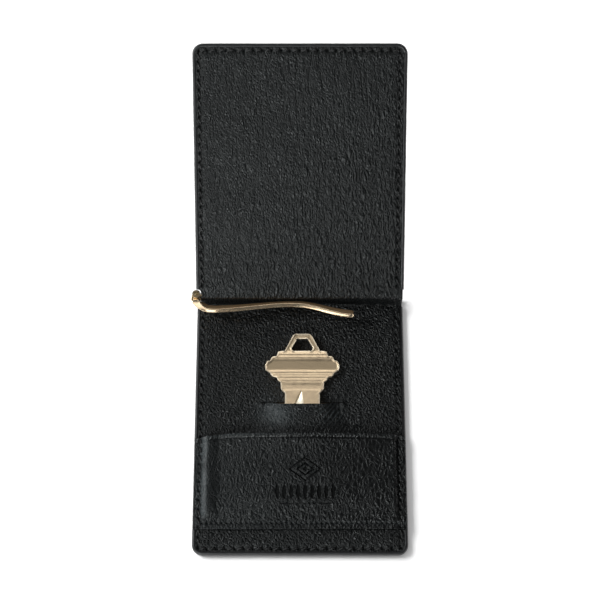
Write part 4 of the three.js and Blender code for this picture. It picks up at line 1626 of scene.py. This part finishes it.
def make_arm():
    """The sprung arm: a flat gilt strip, bent round the fold's end and flared out at its tip."""
    arm = face_outwards(make_piece("money_clip_arm", *rings_mesh(arm_rings()), MATERIALS["arm"]))
    ring = revolve(bevelled_ring(PIN_RADIUS + 0.08, KNUCKLE_RADIUS, KNUCKLE_LOW, KNUCKLE_TOP), PIN_AT)
    knuckle = face_outwards(make_piece("arm_knuckle", *ring, MATERIALS["arm"]))
    unite(arm, knuckle)
    mark_broad_faces(arm)
    sharpen(arm, 40)
    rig.ride(arm, "arm")
    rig.replaces(arm, "clip_arm")
    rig.slot(arm, "clip_gilt")
    return arm


def make_pin():
    """The hinge pin with its ends slightly domed."""
    low, high = PIN_LOW[2] + 0.05, PIN_HIGH[2] - 0.12
    dome = 0.12
    narrow = PIN_RADIUS * 0.7
    segments = 32
    angles = np.linspace(0, 2 * math.pi, segments, endpoint=False)
    rings = []
    for radius, z in ((narrow, low), (PIN_RADIUS, low + dome), (PIN_RADIUS, high - dome), (narrow, high)):
        x = PIN_AT[0] + radius * np.cos(angles)
        y = PIN_AT[1] + radius * np.sin(angles)
        rings.append(np.stack([x, y, np.full(segments, z)], axis=1))
    pin = face_outwards(make_piece("clip_pin", *rings_mesh(rings), MATERIALS["pin"]))
    sharpen(pin, 40)
    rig.ride(pin, "spine_wall")
    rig.replaces(pin, "clip_hinge_pin")
    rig.slot(pin, "hinge_pin")
    return pin


# ---- Key ----

# One side of the bow, as the frame's key has it: distance from the centre line, place from the slit.
BOW_SIDE = [
    (2.7, 26.6), (3.5, 26.1), (6.8, 19.8), (9.2, 19.6), (9.9, 17.8), (11.6, 17.5), (12.4, 16.0),
    (13.4, 15.9), (14.2, 14.3), (14.1, 12.4), (12.4, 11.2), (11.4, 9.7), (9.7, 9.2), (9.3, 8.0),
    (8.3, 7.5), (8.1, 4.7), (6.6, 3.3),
]
BLADE_HALF = 4.35
SHOULDER_PLACE = -3.0
NOTCHES = [(-7.5, 1.6), (-11.4, 2.8), (-15.3, 1.2), (-19.2, 2.4), (-23.1, 1.8)]
HOLE = [(-2.0, 24.6), (-4.2, 20.9), (-3.6, 19.8), (3.6, 19.8), (4.2, 20.9), (2.0, 24.6)]

# The bow's ribs: place from the slit, half width, height.
RIBS = [
    (18.6, 0.3, 0.11), (17.4, 0.26, 0.1), (11.6, 0.26, 0.1),
    (10.6, 0.2, 0.08), (9.7, 0.22, 0.09), (8.5, 0.24, 0.06),
]
GROOVE_TOP = 4.3  # where the milled groove runs out, from the slit
GROOVE_APEX = -0.4  # and how far left of the centre line
GROOVE_DEPTH = 0.7
RIM_RISE = 0.12
BAND_DEPTH = 0.22
LOOP_DEPTH = 0.16
NECK_DEPTH = 0.1
EDGE_DROP = 0.2


def rounded(points, radius, per_corner=4):
    """A closed line with its corners rounded by short curves."""
    points = np.array(points, float)
    result = []
    for before, here, after in zip(np.roll(points, 1, 0), points, np.roll(points, -1, 0)):
        to_before = before - here
        to_after = after - here
        reach = min(radius, 0.45 * np.linalg.norm(to_before), 0.45 * np.linalg.norm(to_after))
        a = here + to_before / np.linalg.norm(to_before) * reach
        b = here + to_after / np.linalg.norm(to_after) * reach
        for t in np.linspace(0, 1, per_corner):
            result.append((1 - t) ** 2 * a + 2 * t * (1 - t) * here + t ** 2 * b)
    return np.array(result)


def key_outline():
    """The key in plan: up the bow's left side, round the blade with its notches, and back."""
    left = [(-x, y) for x, y in BOW_SIDE]
    left += [(-6.6, SHOULDER_PLACE), (-BLADE_HALF, SHOULDER_PLACE), (-BLADE_HALF, -BLADE_LENGTH + 3)]
    line = left + [(-1, -BLADE_LENGTH), (1, -BLADE_LENGTH), (BLADE_HALF, -BLADE_LENGTH + 3)]
    for y, depth in reversed(NOTCHES):
        line += [(BLADE_HALF, y - 0.6 - depth * 0.45), (BLADE_HALF - depth, y - 0.6)]
        line += [(BLADE_HALF - depth, y + 0.6), (BLADE_HALF, y + 0.6 + depth * 0.45)]
    line += [(BLADE_HALF, SHOULDER_PLACE), (6.6, SHOULDER_PLACE)]
    line += [(x, y) for x, y in reversed(BOW_SIDE)]
    return rounded(line, 0.24)


def coining(x, y, rim):
    """The bow's relief: raised rim, ribs above and below a sunk band, and the blade's groove."""
    on_bow = smooth(y, 6.8, 7.6) * fall(y, 18.9, 19.4)
    band = smooth(y, 12.1, 12.5) * fall(y, 16.0, 16.4) * smooth(rim, 0.6, 0.9)
    ribs = 0.0
    for at, width, rise in RIBS:
        ribs = ribs + rise * bell(y, at, width)
    ribs = ribs * smooth(rim, 0.2, 0.6) * on_bow
    edge = RIM_RISE * fall(rim, 0.4, 0.65)
    loop_dish = -LOOP_DEPTH * smooth(y, 19.5, 20.1) * smooth(rim, 0.4, 0.7)
    neck_dish = -NECK_DEPTH * smooth(y, 4.3, 4.9) * fall(y, 6.2, 7.4) * smooth(rim, 0.5, 0.8)
    run_out = np.clip((GROOVE_TOP - y) / GROOVE_TOP, 0, 2)
    left = GROOVE_APEX - 2.0 * run_out
    right = GROOVE_APEX + 0.7 * run_out
    milled = smooth(x, left - 0.12, left + 0.12) * fall(x, right - 0.12, right + 0.12)
    milled = milled * (run_out > 0)
    groove = milled * GROOVE_DEPTH * np.clip((right - x) / np.maximum(right - left, 0.1), 0.15, 1)
    round_over = EDGE_DROP * round_drop(rim, 0.25)
    relief = ribs + edge + loop_dish + neck_dish - BAND_DEPTH * band - groove
    hollow = np.maximum(band, 0.95 * smooth(y, 19.5, 20.1) * smooth(rim, 0.3, 0.5))
    hollow = np.maximum(hollow, 0.22 * fall(y, 6.5, 8.0))
    # painted highlight: a bright rim of colour along the outline, partly worn brass
    bright = np.maximum(milled, 0.7 * fall(rim, 0.16, 0.32))
    return relief, round_over, hollow, bright


def make_key():
    """The key: a coined plate, tilted to lie in its slit."""
    flat, tris, rim = plate([key_outline(), rounded(HOLE, 0.5)], 0.3, (0.08, 0.2, 0.4))
    x, y = flat[:, 0], flat[:, 1]
    relief, round_over, hollow, milled = coining(x, y, rim)
    upper = KEY_THICK - 0.15 + relief - round_over
    lower = round_over * 0.8 - np.minimum(0, relief) * 0.2
    points, faces = double_sided(flat, tris, upper, lower)
    tilt = math.atan(KEY_SLOPE)
    turned = np.stack([
        points[:, 0] + KEY_X,
        SLIT_Y + points[:, 1] * math.cos(tilt) - points[:, 2] * math.sin(tilt),
        KEY_Z + points[:, 1] * math.sin(tilt) + points[:, 2] * math.cos(tilt),
    ], axis=1)
    plain = np.zeros(len(flat))
    # milled: the groove, and the painted highlight along the rim
    values = {"hollow": np.concatenate([hollow, plain]), "milled": np.concatenate([milled, plain])}
    key = face_outwards(make_piece("coined_key", turned, faces, MATERIALS["key"], values=values))
    sharpen(key, 45)
    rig.ride(key, "key")
    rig.replaces(key, "house_key")
    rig.slot(key, "key_brass")
    return key


# ---- CAD pieces that stay ----

def finish_cad_pieces():
    """Gives each of the frame's own pieces its material, and rounds the bar's edges."""
    kept = {
        "back_stiffener": "board", "cover_stiffener": "board", "clip_backing_strip": "board",
        "key_pocket_backing": "film", "clip_back_bar": "gilt", "clip_leaf_spring": "steel",
        "clip_rivet_left": "rivet", "clip_rivet_middle": "rivet", "clip_rivet_right": "rivet",
    }
    # the replaced nodes look like what stands for them
    replaced = {
        "back_lining": "back_lining", "cover_lining": "cover_lining", "spine_lining": "cover_lining",
        "card_pocket": "pocket", "back_outer_leather": "hide", "cover_outer_leather": "hide",
        "spine_outer_leather": "hide", "back_stitching": "thread", "cover_stitching": "thread",
        "card_pocket_stitching": "thread", "clip_arm": "arm", "clip_hinge_pin": "pin", "house_key": "key",
    }
    for node, material in {**kept, **replaced}.items():
        slots = frame["nodes"][node].data.materials
        slots.clear()
        slots.append(MATERIALS[material])
    bar = frame["nodes"]["clip_back_bar"]
    bevel = bar.modifiers.new("rounded_edges", "BEVEL")
    bevel.width = 0.18 * MM
    bevel.segments = 3
    bevel.angle_limit = math.radians(40)


make_lower_lining()
make_upper_lining()
lower_hide = make_lower_hide()
make_upper_hide()
back_plan = edge_plan(BACK_HIGH[1] + 0.1, NEAR_Y, 0.8)
back_edge = make_edge("back_painted_edge", back_plan, back_place, back_edge_top, "back_panel")
make_edge("cover_painted_edge", edge_plan(1.3, COVER_END, 0.3), cover_place,
          lambda x, y: EDGE_RISE, "cover")
pocket = make_pocket()
make_stitching()
arm = make_arm()
pin = make_pin()
key = make_key()
finish_cad_pieces()
metal_pieces = [arm, pin, key, frame["nodes"]["clip_back_bar"]]
share_light(LIGHTS, FLOOR, [lower_hide, back_edge, pocket], key, metal_pieces)

sizes = {"cad": [list(corner) for corner in CAD_BOUNDS], "visual": [list(corner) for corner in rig.bounds()]}
with open("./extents.json", "w") as out:
    json.dump(sizes, out)
